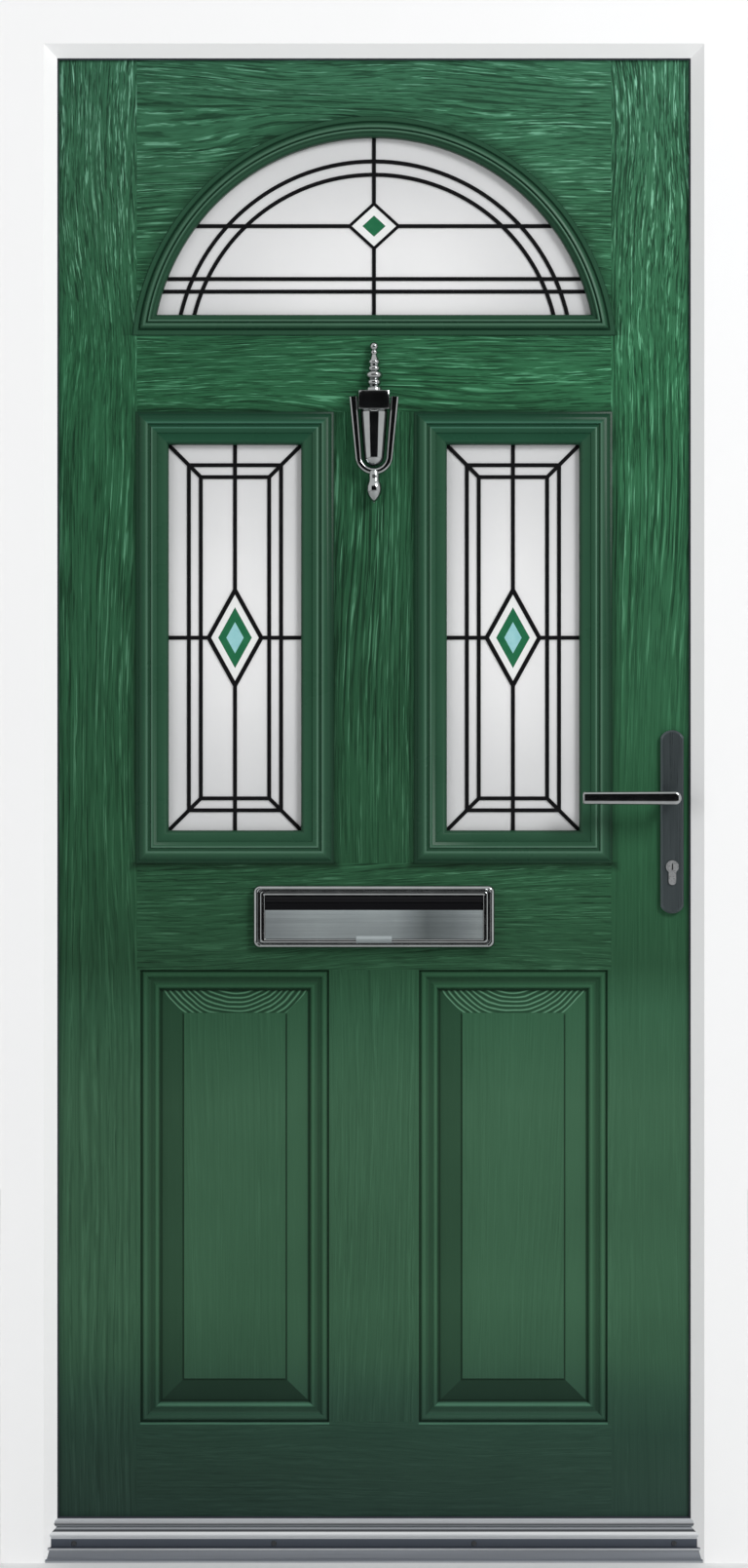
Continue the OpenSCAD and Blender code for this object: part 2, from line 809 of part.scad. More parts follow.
// Bars that hold the two panes of each light apart, hidden behind the cassettes
module glass_spacers() {
    color("dimgray") through_y(leaf_y0 + pane_sink + pane_t, leaf_y1 - pane_sink - pane_t) {
        for (side = [-1, 1]) {
            difference() {
                tall_outline(side, cassette_aperture + glass_edge);
                tall_outline(side, cassette_aperture + glass_edge + spacer_w);
            }
        }
        difference() {
            arch_outline(arch_aperture + glass_edge);
            arch_outline(arch_aperture + glass_edge + spacer_w);
        }
    }
}

// Straight came in X and Z between two points
module came_line(from, to) {
    run = to - from;
    translate(from) rotate(atan2(run[1], run[0])) translate([0, -came_w / 2]) square([norm(run), came_w]);
}

// Came along the four sides of a rectangle, measured to the middle of the came
module came_rectangle(half_w, half_h) {
    difference() {
        square([2 * half_w + came_w, 2 * half_h + came_w], center = true);
        square([2 * half_w - came_w, 2 * half_h - came_w], center = true);
    }
}

module lozenge(half_w, half_h) {
    polygon([[half_w, 0], [0, half_h], [-half_w, 0], [0, -half_h]]);
}

// Lozenge-shaped ring between two shares of the full lozenge
module lozenge_ring(size, outer, inner) {
    difference() {
        lozenge(size[0] * outer, size[1] * outer);
        if (inner > 0) {
            lozenge(size[0] * inner, size[1] * inner);
        }
    }
}

// Lead work lies on the outside of the outer panes
module on_glass(thickness) {
    through_y(leaf_y0 + pane_sink - thickness, leaf_y0 + pane_sink) children();
}

// Two bows, two rails, a centre bar and a lozenge
module arch_came() {
    bow_gaps = arch_glass_r * [0.104, 0.164];
    rail_rises = arch_glass_r * [0.107, 0.164];
    sill = arch_base_z + arch_band;
    color("black") on_glass(came_t) intersection() {
        arch_outline(arch_band);
        union() {
            for (gap = bow_gaps) {
                translate([0, arch_z]) difference() {
                    circle(r = arch_glass_r - gap + came_w / 2);
                    circle(r = arch_glass_r - gap - came_w / 2);
                }
            }
            for (rise = rail_rises) {
                came_line([-arch_r, sill + rise], [arch_r, sill + rise]);
            }
            difference() {
                union() {
                    came_line([0, sill - came_w], [0, arch_z + arch_r]);
                    came_line([-arch_r, arch_lozenge_z], [arch_r, arch_lozenge_z]);
                }
                translate([0, arch_lozenge_z]) lozenge(arch_lozenge[0], arch_lozenge[1]);
            }
            translate([0, arch_lozenge_z]) lozenge_ring(arch_lozenge, 1.06, lead_share);
        }
    }
}

// Two nested rectangles tied to the corners, a cross and a tall lozenge
module tall_came() {
    insets = tall_sight[0] * [0.303, 0.483];
    intersection() {
        square(2 * tall_sight, center = true);
        union() {
            for (inset = insets) {
                came_rectangle(tall_sight[0] - inset, tall_sight[1] - inset);
            }
            for (sx = [-1, 1], sz = [-1, 1]) {
                came_line([sx * tall_sight[0], sz * tall_sight[1]],
                    [sx * (tall_sight[0] - insets[1]), sz * (tall_sight[1] - insets[1])]);
            }
            difference() {
                union() {
                    came_line([0, -tall_sight[1] - came_w], [0, tall_sight[1] + came_w]);
                    came_line([-tall_sight[0] - came_w, 0], [tall_sight[0] + came_w, 0]);
                }
                lozenge(tall_lozenge[0], tall_lozenge[1]);
            }
            lozenge_ring(tall_lozenge, 1.06, lead_share);
        }
    }
}

module side_cames() {
    color("black") on_glass(came_t) for (side = [-1, 1]) {
        translate([side * bay_x, light_z]) tall_came();
    }
}

// Coloured glass inside the lead lozenges, from the rim inwards
module lozenge_tiles(outer, inner, arch_outer, arch_inner) {
    on_glass(came_t * 0.6) {
        for (side = [-1, 1]) {
            translate([side * bay_x, light_z]) lozenge_ring(tall_lozenge, outer, inner);
        }
        if (arch_outer > arch_inner) {
            translate([0, arch_lozenge_z]) lozenge_ring(arch_lozenge, arch_outer, arch_inner);
        }
    }
}

module white_lozenges() {
    color("white") lozenge_tiles(lead_share, 0.62, lead_share, 0.46);
}

module green_lozenges() {
    color("green") lozenge_tiles(0.62, 0.32, 0.46, 0);
}

module aqua_lozenges() {
    color("aquamarine") lozenge_tiles(0.32, 0, 0, 0);
}

// Rectangle with round corners, centred
module rounded_rectangle(w, h, r) {
    square([w - 2 * r, h], center = true);
    square([w, h - 2 * r], center = true);
    for (sx = [-1, 1], sy = [-1, 1]) {
        translate([sx * (w / 2 - r), sy * (h / 2 - r)]) circle(r = r);
    }
}

// Plate on the outer face with round corners and a chamfered rim, centred on the origin in X and Z
module chamfered_plate(w, h, t, r, chamfer) {
    hull() {
        through_y(leaf_y0 - t + chamfer, leaf_y0) rounded_rectangle(w, h, r, $fn = 32);
        through_y(leaf_y0 - t, leaf_y0)
            rounded_rectangle(w - 2 * chamfer, h - 2 * chamfer, r - chamfer, $fn = 32);
    }
}

// Long strip with bowed ends, centred
module bowed_strip(w, h) {
    bow_r = (w ^ 2 / 4 + backplate_bow ^ 2) / (2 * backplate_bow);
    square([w, h - 2 * backplate_bow], center = true);
    for (end = [-1, 1]) {
        intersection() {
            translate([0, end * (h / 2 - bow_r)]) circle(r = bow_r);
            translate([0, end * (h - w) / 2]) square([w, w], center = true);
        }
    }
}

// Long backplate with a bore for the lever's neck and a hole of the key cylinder's shape
module backplate() {
    rim = 2.5;
    difference() {
        translate([lock_x, 0, backplate_z]) hull() {
            through_y(leaf_y0 - backplate_t + rim, leaf_y0) bowed_strip(backplate_w, backplate_h);
            through_y(leaf_y0 - backplate_t, leaf_y0)
                bowed_strip(backplate_w - 2 * rim, backplate_h - 2 * rim);
        }
        translate([lock_x, leaf_y0 + over, spindle_z]) rotate([90, 0, 0])
            cylinder(h = backplate_t + 2 * over, r = neck_r + running);
        through_y(leaf_y0 - backplate_t - over, leaf_y0 + over) translate([lock_x, key_z]) key_outline(seat);
        for (z = through_z) {
            translate([lock_x, leaf_y0 + over, z]) rotate([90, 0, 0])
                cylinder(h = bolt_depth + over, r = through_r + seat);
        }
    }
}

module outer_backplate() {
    color("slategray") backplate();
}

// The inner backplate is drilled right through for the heads of the bolts
module inner_backplate() {
    color("slategray") difference() {
        inside_copy() backplate();
        for (z = through_z) {
            translate([lock_x, leaf_y1 - over, z]) rotate([-90, 0, 0])
                cylinder(h = backplate_t + 2 * over, r = through_head_r + seat);
        }
    }
}

// Bolts that clamp the two backplates to the leaf, with countersunk cross heads inside
module through_bolts() {
    head_y = leaf_y1 + backplate_t;
    color("silver") for (z = through_z) {
        translate([lock_x, 0, z]) rotate([-90, 0, 0]) difference() {
            union() {
                translate([0, 0, leaf_y0 - bolt_depth])
                    cylinder(h = head_y - leaf_y0 + bolt_depth, r = through_r);
                translate([0, 0, leaf_y1 + seat]) cylinder(h = head_y - leaf_y1 - seat, r = through_head_r);
            }
            for (turn = [0, 90]) {
                rotate(turn) translate([-through_head_r * 0.6, -0.5, head_y - 1.5])
                    cube([through_head_r * 1.2, 1, over + 1.5]);
            }
        }
    }
}

// Neck and tapering bar of a lever, cut from three outlines, with a square socket for the spindle
module lever() {
    bar_d = 12;
    heel = neck_r + 3;
    out_y = leaf_y0 - lever_out;
    difference() {
        union() {
            translate([lock_x, leaf_y0 - seat, spindle_z]) rotate([90, 0, 0])
                cylinder(h = lever_out - bar_d / 2, r = neck_r);
            intersection() {
                along_x(lock_x - lever_l, lock_x + heel) translate([out_y + bar_d / 2, spindle_z])
                    rounded_rectangle(bar_d, 2 * heel, 5);
                through_y(out_y - over, out_y + bar_d + over) translate([lock_x, spindle_z]) {
                    circle(r = lever_heel_r);
                    polygon([
                        [0, lever_heel_r], [lever_tip_r - lever_l, lever_tip_r],
                        [lever_tip_r - lever_l, -lever_tip_r], [0, -lever_heel_r]
                    ]);
                    translate([lever_tip_r - lever_l, 0])
                        rounded_rectangle(2 * lever_tip_r, 2 * lever_tip_r, lever_corner_r);
                }
                translate([0, 0, spindle_z - 2 * heel]) linear_extrude(4 * heel) {
                    translate([lock_x - lever_l, out_y]) square([lever_l, bar_d]);
                    translate([lock_x, out_y + bar_d]) circle(r = bar_d);
                }
            }
        }
        socket = spindle_s / 2 + seat;
        block([lock_x - socket, leaf_y0 - spindle_out - seat, spindle_z - socket],
            [lock_x + socket, leaf_y0 + over, spindle_z + socket]);
    }
}

module outer_lever() {
    color("silver") lever();
}

module inner_lever() {
    color("silver") inside_copy() lever();
}

// Square spindle with the round follower that turns in the lock case
module spindle() {
    color("gray") {
        block([lock_x - spindle_s / 2, leaf_y0 - spindle_out, spindle_z - spindle_s / 2],
            [lock_x + spindle_s / 2, leaf_y1 + spindle_out, spindle_z + spindle_s / 2]);
        translate([lock_x, leaf_mid + case_t / 2, spindle_z]) rotate([90, 0, 0])
            cylinder(h = case_t, r = follower_r - running);
    }
}

module faceplate_blank(past) {
    block([leaf_x - faceplate_t, leaf_mid - faceplate_w / 2, hook_zs[1] - faceplate_past],
        [leaf_x + past, leaf_mid + faceplate_w / 2, hook_zs[0] + faceplate_past]);
}

module lock_faceplate() {
    color("silver") difference() {
        faceplate_blank(0);
        for (spec = [[latch_z, latch_s], [bolt_z, bolt_s]]) {
            half = spec[1] / 2 + [moving, moving];
            block([leaf_x - faceplate_t - over, leaf_mid - half[0], spec[0] - half[1]],
                [leaf_x + over, leaf_mid + half[0], spec[0] + half[1]]);
        }
        for (z = hook_zs) {
            block([leaf_x - faceplate_t - over, leaf_mid - hook_t / 2 - moving, z + hook_slot_low],
                [leaf_x + over, leaf_mid + hook_t / 2 + moving, z + hook_out + moving]);
        }
    }
}

module lock_case_blank(room, past) {
    block([lock_x - case_back - room, leaf_mid - case_t / 2 - room, case_low - room],
        [leaf_x - faceplate_t + past, leaf_mid + case_t / 2 + room, case_top + room]);
}

// Lock case behind the faceplate, hollowed for the latch, the deadbolt, the follower and the key's cam
module lock_case() {
    color("gray") difference() {
        lock_case_blank(0, 0);
        for (spec = [[latch_z, latch_s, latch_l], [bolt_z, bolt_s, bolt_l + latch_throw]]) {
            half = spec[1] / 2 + [moving, moving];
            block([leaf_x - spec[2] - moving, leaf_mid - half[0], spec[0] - half[1]],
                [leaf_x, leaf_mid + half[0], spec[0] + half[1]]);
        }
        through_y(leaf_mid - case_t, leaf_mid + case_t) {
            translate([lock_x, spindle_z]) circle(r = follower_r);
            translate([lock_x, key_z]) circle(r = cam_r + moving);
            translate([lock_x, key_z]) key_outline(seat);
        }
    }
}

// Latch bolt, bevelled on the side that meets the keep first
module latch_bolt() {
    tip = leaf_x + latch_throw;
    half = latch_s / 2;
    color("silver") translate([0, leaf_mid, latch_z - half[1]]) linear_extrude(latch_s[1]) polygon([
        [tip - latch_l, -half[0]], [tip - latch_throw + 1, -half[0]], [tip, half[0] - 3], [tip, half[0]],
        [tip - latch_l, half[0]]
    ]);
}

module deadbolt() {
    tip = leaf_x - moving;
    half = bolt_s / 2;
    color("silver")
        block([tip - bolt_l, leaf_mid - half[0], bolt_z - half[1]],
            [tip, leaf_mid + half[0], bolt_z + half[1]]);
}

module hook_case_blank(z, room, past) {
    reach = hook_case_reach + room;
    block([leaf_x - hook_pivot_in - reach, leaf_mid - case_t / 2 - room, z - reach],
        [leaf_x - faceplate_t + past, leaf_mid + case_t / 2 + room, z + reach]);
}

// Cases of the two hooks, each with the pin that its hook turns on
module hook_cases() {
    color("gray") for (z = hook_zs) {
        difference() {
            hook_case_blank(z, 0, 0);
            through_y(leaf_mid - hook_t / 2 - moving, leaf_mid + hook_t / 2 + moving)
                translate([leaf_x - hook_pivot_in, z]) circle(r = hook_out + 1);
        }
        translate([leaf_x - hook_pivot_in, leaf_mid + case_t / 2, z]) rotate([90, 0, 0])
            cylinder(h = case_t, r = hook_pin_r);
    }
}

// Hook: a bow about its own pivot, so that it leaves through a short slot, on a hub and an arm
module hook(z) {
    bow_from = 95;
    bow_to = 185;
    arm_w = 8;
    far = 2 * hook_out;
    color("silver") through_y(leaf_mid - hook_t / 2, leaf_mid + hook_t / 2)
        translate([leaf_x - hook_pivot_in, z]) difference() {
            union() {
                circle(r = hook_hub_r);
                intersection() {
                    difference() {
                        circle(r = hook_out);
                        circle(r = hook_in);
                    }
                    polygon([
                        [0, 0], far * [cos(bow_from), sin(bow_from)], far * [-1, 1],
                        far * [cos(bow_to), sin(bow_to)]
                    ]);
                }
                rotate(bow_to - 12) translate([0, -arm_w / 2]) square([hook_in + 1, arm_w]);
            }
            circle(r = hook_pin_r + running);
        }
}

module hook_upper() {
    hook(hook_zs[0]);
}

module hook_lower() {
    hook(hook_zs[1]);
}

// Two flat strips in the groove behind the faceplate, from the lock case towards each hook case
module drive_rail() {
    gap = 2;
    past_hook = hook_case_reach + gap;
    color("silver") for (span = [[case_top + gap, hook_zs[0] - past_hook - rail_travel],
            [hook_zs[1] + past_hook, case_low - gap - rail_travel]]) {
        block([rail_x0, leaf_mid - rail_s[1] / 2, span[0]],
            [rail_x0 + rail_s[0], leaf_mid + rail_s[1] / 2, span[1]]);
    }
}

// Key cylinder, bored for its plug and cut away in the middle for the cam
module cylinder_body() {
    color("silver") translate([lock_x, 0, key_z]) difference() {
        through_y(leaf_y0 - key_out, leaf_y1 + key_out) key_outline(0);
        translate([0, leaf_y0 - key_out - over, 0]) rotate([-90, 0, 0])
            cylinder(h = leaf_t + 2 * (key_out + over), r = plug_r + running);
        through_y(leaf_mid - cam_l / 2 - moving, leaf_mid + cam_l / 2 + moving) circle(r = cam_r + moving);
    }
}

// Plug with its keyway outside and the cam in the middle
module cylinder_plug() {
    proud = 0.6;
    keyway = [1.6, 18, 8.5];
    color("gold") translate([lock_x, 0, key_z]) difference() {
        union() {
            translate([0, leaf_y0 - key_out - proud, 0]) rotate([-90, 0, 0])
                cylinder(h = leaf_t + 2 * key_out + proud, r = plug_r);
            through_y(leaf_mid - cam_l / 2, leaf_mid + cam_l / 2) intersection() {
                circle(r = cam_r);
                translate([-4, -cam_r]) square([8, cam_r]);
            }
        }
        translate([-keyway[0] / 2, leaf_y0 - key_out - proud - over, -keyway[2] / 2])
            cube([keyway[0], keyway[1] + over, keyway[2]]);
    }
}

// Flat oval turn on a short round stem, on the inside of the plug
module thumbturn() {
    stem_l = 6;
    grip = [26, 15, 7];
    start = leaf_y1 + key_out;
    color("silver") translate([lock_x, 0, key_z]) {
        translate([0, start, 0]) rotate([-90, 0, 0]) cylinder(h = stem_l, r = plug_r - 0.5);
        translate([0, start + stem_l + grip[1] / 2, 0]) intersection() {
            cube([grip[2], grip[1], grip[0]], center = true);
            rotate([0, 90, 0]) cylinder(h = grip[2], r = grip[0] / 2, center = true);
        }
    }
}

// Letterplate surround: a chamfered plate, recessed for its flap and cut through for the slot
module letterplate_frame() {
    recess_w = flap_w + 2 * moving;
    recess_low = flap_low - moving;
    recess_top = flap_z + flap_roll_r + 2 * moving;
    difference() {
        translate([0, 0, plate_z]) chamfered_plate(plate_w, plate_h, plate_t, 9, 3);
        block([-recess_w / 2, leaf_y0 - plate_t - over, recess_low],
            [recess_w / 2, leaf_y0 - letter_web, recess_top]);
        block([-slot_w / 2, leaf_y0 - plate_t - over, plate_z - slot_h / 2],
            [slot_w / 2, leaf_y0 + over, plate_z + slot_h / 2]);
        translate([0, flap_y, flap_z]) rotate([0, 90, 0])
            cylinder(h = flap_w + 2 * flap_pin_l + 2 * moving, r = flap_pin_r + running, center = true);
    }
}

module letterplate_outer_frame() {
    color("silver") letterplate_frame();
}

module letterplate_inner_frame() {
    color("silver") inside_copy() letterplate_frame();
}

// Tube that lines the slot through the leaf
module letterplate_sleeve() {
    color("dimgray") through_y(leaf_y0, leaf_y1) translate([0, plate_z]) difference() {
        square([slot_w + 2 * sleeve_wall, slot_h + 2 * sleeve_wall], center = true);
        square([slot_w, slot_h], center = true);
    }
}

// Flap that hangs from a rolled top edge on two stub pins, with a finger lip along its foot
module flap() {
    face_y = flap_y - flap_roll_r;
    finger_t = 1.6;
    finger_rise = 4;
    finger_hang = 5;
    finger_y = leaf_y0 - plate_t - moving;
    color("silver") {
        translate([0, flap_y, flap_z]) rotate([0, 90, 0]) {
            cylinder(h = flap_w, r = flap_roll_r, center = true);
            cylinder(h = flap_w + 2 * flap_pin_l, r = flap_pin_r, center = true);
        }
        block([-flap_w / 2, face_y, flap_low], [flap_w / 2, face_y + flap_t, flap_z]);
        along_x(-flap_lip_w / 2, flap_lip_w / 2) polygon([
            [face_y + flap_t / 2, flap_low], [face_y + flap_t / 2, flap_low + finger_rise],
            [face_y, flap_low + finger_rise],
            [finger_y - finger_t, flap_low - finger_t], [finger_y - finger_t, flap_low - finger_hang],
            [finger_y, flap_low - finger_hang], [finger_y, flap_low]
        ]);
    }
}

module outer_flap() {
    flap();
}

module inner_flap() {
    inside_copy() flap();
}

// Turned urn with a cap and a finial of beads, flat against the leaf, and the stud that the tail strikes
module knocker_plate() {
    axis_y = leaf_y0 - knocker_axis_out;
    cap_r = knocker_w / 2 - 6.8;
    stud_r = 6;
    stud_z = knocker_z - knocker_tail_top - knocker_tail_mid;
    finial = concat(
        [[0, 79], [0.7, 79]],
        member([0, 73.3], 5.8, 75, -55),
        member([1, 65.3], 3.8, 45, -50),
        [[4, 61], [6.4, 56.5]],
        member([4.5, 52.5], 3.8, 40, -60),
        member([4, 43.8], 4.4, 60, -60),
        member([6.5, 35], 5.4, 60, -60),
        member([5, 25.3], 4.6, 60, -60),
        [[8, 20.5], [11, 17.5], [11.5, 14.5]]
    );
    urn = concat(
        [[cap_r - 5, 13]],
        member([cap_r - 4.6, 7.6], 4.6, 80, 0),
        member([cap_r - 3, -9], 3, 0, -80),
        [[cap_r - 2.6, -13], [cap_r - 2.2, -15], [cap_r - 2.6, -28], [cap_r - 4.2, -48], [cap_r - 6.6, -68]],
        member([cap_r - 16.6, -77], 9, 10, -80),
        [[cap_r - 16.6, -86], [0, -86]]
    );
    color("silver") {
        difference() {
            intersection() {
                translate([0, axis_y, knocker_z]) rotate_extrude() polygon(concat(finial, urn));
                block([-knocker_w, leaf_y0 - 2 * knocker_w, knocker_z - 2 * knocker_w],
                    [knocker_w, leaf_y0, knocker_z + 2 * knocker_w]);
            }
            translate([0, knocker_y, knocker_z]) rotate([0, 90, 0])
                cylinder(h = 2 * knocker_w, r = knocker_pin_r + running, center = true);
        }
        translate([0, leaf_y0, stud_z]) rotate([90, 0, 0])
            cylinder(h = leaf_y0 - knocker_y - knocker_tail_r - moving, r = stud_r);
    }
}

// Bail of tapering arms with a pointed tail, hung on a cross pin through the urn
module knocker_ring() {
    arm_r = 5.6;
    arm_past = 5;
    collar = 0.4;
    half = knocker_w / 2;
    run = [knocker_bend - half, -knocker_l];
    color("silver") translate([0, knocker_y, knocker_z]) {
        rotate([0, 90, 0]) cylinder(h = knocker_w, r = knocker_pin_r, center = true);
        for (side = [0, 1]) {
            mirror([side, 0, 0]) {
                translate([half, 0, 0]) rotate([0, atan2(run[0], run[1]), 0]) translate([0, 0, -arm_past])
                    cylinder(h = norm(run) + arm_past, r1 = arm_r, r2 = knocker_rod);
                translate([knocker_bend, 0, -knocker_l]) sphere(r = knocker_rod + collar);
            }
        }
        translate([0, 0, -knocker_l]) rotate([-90, 0, 0]) rotate_extrude(angle = 180)
            translate([knocker_bend, 0]) circle(r = knocker_rod);
        translate([0, 0, -knocker_tail_top]) rotate_extrude() polygon(concat(
            [[0, knocker_rod], [6.5, 0.5], [7.6, -5]],
            member([-knocker_tail_r, -knocker_tail_mid], 2 * knocker_tail_r, 30, -58),
            [[0.6, -knocker_tail_mid - 20], [0, -knocker_tail_mid - 20]]
        ));
    }
}

hinge_jamb();
lock_jamb();
head_rail();
threshold();
frame_seal();
threshold_screws();
hinge_frame_flags();
hinge_pins();
lock_keeps();
outer_skin();
inner_skin();
foam_core();
hinge_stile();
lock_stile();
top_rail();
bottom_rail();
hinge_leaf_flags();
arch_cassette_outer();
arch_cassette_inner();
left_cassette_outer();
left_cassette_inner();
right_cassette_outer();
right_cassette_inner();
arch_outer_pane();
arch_inner_pane();
left_outer_pane();
left_inner_pane();
right_outer_pane();
right_inner_pane();
glass_spacers();
arch_came();
side_cames();
green_lozenges();
white_lozenges();
aqua_lozenges();
outer_backplate();
inner_backplate();
through_bolts();
lock_faceplate();
lock_case();
hook_cases();
cylinder_body();
letterplate_outer_frame();
letterplate_sleeve();
letterplate_inner_frame();
knocker_plate();
outer_lever();
inner_lever();
spindle();
latch_bolt();
cylinder_plug();
thumbturn();
deadbolt();
hook_upper();
hook_lower();
drive_rail();
outer_flap();
inner_flap();
knocker_ring();
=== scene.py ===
import math

import bmesh
import bpy
import numpy as np
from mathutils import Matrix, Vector


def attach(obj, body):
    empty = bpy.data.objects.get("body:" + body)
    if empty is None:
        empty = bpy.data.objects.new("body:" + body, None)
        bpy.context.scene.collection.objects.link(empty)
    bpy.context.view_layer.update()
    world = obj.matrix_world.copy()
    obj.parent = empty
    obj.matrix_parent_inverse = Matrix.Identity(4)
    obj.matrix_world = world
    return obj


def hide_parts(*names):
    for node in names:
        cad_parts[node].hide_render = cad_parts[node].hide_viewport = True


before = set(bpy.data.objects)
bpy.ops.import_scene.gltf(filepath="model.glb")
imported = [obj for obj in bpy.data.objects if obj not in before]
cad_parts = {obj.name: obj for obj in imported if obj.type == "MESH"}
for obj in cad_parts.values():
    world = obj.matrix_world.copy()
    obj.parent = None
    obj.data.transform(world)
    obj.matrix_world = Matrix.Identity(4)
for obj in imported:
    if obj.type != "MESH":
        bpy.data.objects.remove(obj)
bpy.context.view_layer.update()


# Outer frame: two uprights and a head, mitred and welded at the corners.
# Extruded white plastic with a smooth, faintly clouded skin, screwed to the wall through its rebate.

def add(tree, kind, values=None, **settings):
    """Adds one shader node; each value is set on its socket, or linked to it where it is a socket itself."""
    made = tree.nodes.new(kind)
    for name, setting in settings.items():
        setattr(made, name, setting)
    for socket, value in (values or {}).items():
        if isinstance(value, bpy.types.NodeSocket):
            tree.links.new(value, made.inputs[socket])
        else:
            made.inputs[socket].default_value = value
    return made


def blend_colours(tree, share, first, second):
    """The first colour where share is 0 and the second where it is 1."""
    first, second = [(*colour, 1) if isinstance(colour, tuple) else colour for colour in (first, second)]
    return add(tree, "ShaderNodeMix", {"Factor": share, 6: first, 7: second}, data_type="RGBA").outputs[2]


def spread(tree, value, low, high, first=0.0, last=1.0, shape="LINEAR"):
    """Runs from first to last while value runs from low to high, and stays there beyond them."""
    made = add(tree, "ShaderNodeMapRange", {"Value": value, "From Min": low, "From Max": high, "To Min": first,
        "To Max": last}, interpolation_type=shape)
    return made.outputs["Result"]


def finish(name, **sockets):
    """New material with its Principled shader; the sockets keep the same value all over the piece."""
    material = bpy.data.materials.new(name)
    material.use_nodes = True
    shader = material.node_tree.nodes["Principled BSDF"]
    for socket, value in sockets.items():
        shader.inputs[socket.replace("_", " ")].default_value = value
    place = add(material.node_tree, "ShaderNodeTexCoord").outputs["Object"]
    return material, material.node_tree, shader, place


def coat(tree, shader, share, first, second, roughness=None):
    """Colours the surface from first to second by share; the roughness beside it varies too, where one is given."""
    tree.links.new(blend_colours(tree, share, first, second), shader.inputs["Base Color"])
    if roughness is not None:
        tree.links.new(roughness, shader.inputs["Roughness"])


def bump(tree, shader, height, depth):
    """Raises the surface by up to depth metres where height is 1."""
    made = add(tree, "ShaderNodeBump", {"Height": height, "Distance": depth, "Strength": 1.0})
    tree.links.new(made.outputs["Normal"], shader.inputs["Normal"])


def dress(material, *names):
    """Gives CAD nodes their finish."""
    for name in names:
        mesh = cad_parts[name].data
        mesh.materials.clear()
        mesh.materials.append(material)


def group(name, inputs, outputs):
    """Empty shader node group with the named sockets; returns its tree, its input node and its output node."""
    tree = bpy.data.node_groups.new(name, "ShaderNodeTree")
    for socket, kind, value in inputs:
        made = tree.interface.new_socket(socket, in_out="INPUT", socket_type=kind)
        if value is not None:
            made.default_value = value
    for socket, kind in outputs:
        tree.interface.new_socket(socket, in_out="OUTPUT", socket_type=kind)
    return tree, tree.nodes.new("NodeGroupInput"), tree.nodes.new("NodeGroupOutput")


def use(tree, shared, **values):
    """Places a shared node group in a material and returns its outputs."""
    return add(tree, "ShaderNodeGroup", values, node_tree=shared).outputs


# Soft clouds that dull a surface unevenly, as handling and weather do
clouding, ends, out = group("Clouding",
    [("Place", "NodeSocketVector", None), ("Size", "NodeSocketFloat", 6.0), ("From", "NodeSocketFloat", 0.3),
     ("To", "NodeSocketFloat", 0.5)],
    [("Value", "NodeSocketFloat"), ("Mask", "NodeSocketFloat")])
cloud = add(clouding, "ShaderNodeTexNoise", {"Vector": ends.outputs["Place"], "Scale": ends.outputs["Size"],
    "Detail": 4.0, "Roughness": 0.6})
clouding.links.new(spread(clouding, cloud.outputs["Fac"], 0.3, 0.7, ends.outputs["From"], ends.outputs["To"]),
    out.inputs["Value"])
clouding.links.new(cloud.outputs["Fac"], out.inputs["Mask"])

frame_white, tree, shader, place = finish("frame_white", IOR=1.46)
tone = use(tree, clouding, Place=place, Size=5.0, From=0.30, To=0.36)
coat(tree, shader, tone["Mask"], (0.934, 0.937, 0.94), (0.94, 0.943, 0.945), tone["Value"])
skin = add(tree, "ShaderNodeTexNoise", {"Vector": place, "Scale": 900.0, "Detail": 1.0})
bump(tree, shader, skin.outputs["Fac"], 0.00004)
dress(frame_white, "hinge_jamb", "lock_jamb", "head_rail")


# Hinges: a leaf flag and a frame flag on a capped pin, three to the door.
# White powder-coated metal, screwed to the frame and the leaf.

hinge_coat, tree, shader, place = finish("hinge_coat", IOR=1.5)
tone = use(tree, clouding, Place=place, Size=40.0, From=0.3, To=0.5)
coat(tree, shader, tone["Mask"], (0.76, 0.77, 0.775), (0.83, 0.835, 0.84), tone["Value"])
orange_peel = add(tree, "ShaderNodeTexNoise", {"Vector": place, "Scale": 1400.0, "Detail": 2.0})
bump(tree, shader, orange_peel.outputs["Fac"], 0.00006)
dress(hinge_coat, "hinge_frame_flags", "hinge_leaf_flags", "hinge_pins")


# Weather seal: a black bulb gasket pushed into the back of the lip and the threshold's upstand.
# Soft rubber with a dull bloom.

rubber, tree, shader, place = finish("seal_rubber", IOR=1.5)
tone = use(tree, clouding, Place=place, Size=60.0, From=0.55, To=0.75)
coat(tree, shader, tone["Mask"], (0.009, 0.011, 0.020), (0.018, 0.022, 0.036), tone["Value"])
dress(rubber, "frame_seal")


# Threshold: one aluminium extrusion between the uprights, with a weather upstand and a screwed nose.
# Mill-finished metal, streaked along its length by the die, with painted highlights on its upward faces and painted
# shade on its steep faces and in its grooves.

def calc(tree, operation, *operands):
    """One sum on the shader: the operands are numbers or sockets."""
    return add(tree, "ShaderNodeMath", dict(enumerate(operands)), operation=operation).outputs[0]


def times(tree, first, second):
    """One colour dimmed by another."""
    made = add(tree, "ShaderNodeMix", {"Factor": 1.0, 6: first, 7: second}, data_type="RGBA", blend_type="MULTIPLY")
    return made.outputs[2]


def steps(tree, value, *stops):
    """Colour ramp through the stops, each a place from 0 to 1 and a colour."""
    ramp = add(tree, "ShaderNodeValToRGB", {"Fac": value})
    while len(ramp.color_ramp.elements) < len(stops):
        ramp.color_ramp.elements.new(0.5)
    for element, (place, colour) in zip(ramp.color_ramp.elements, stops):
        element.position = place
        element.color = (*colour, 1)
    return ramp.outputs["Color"]


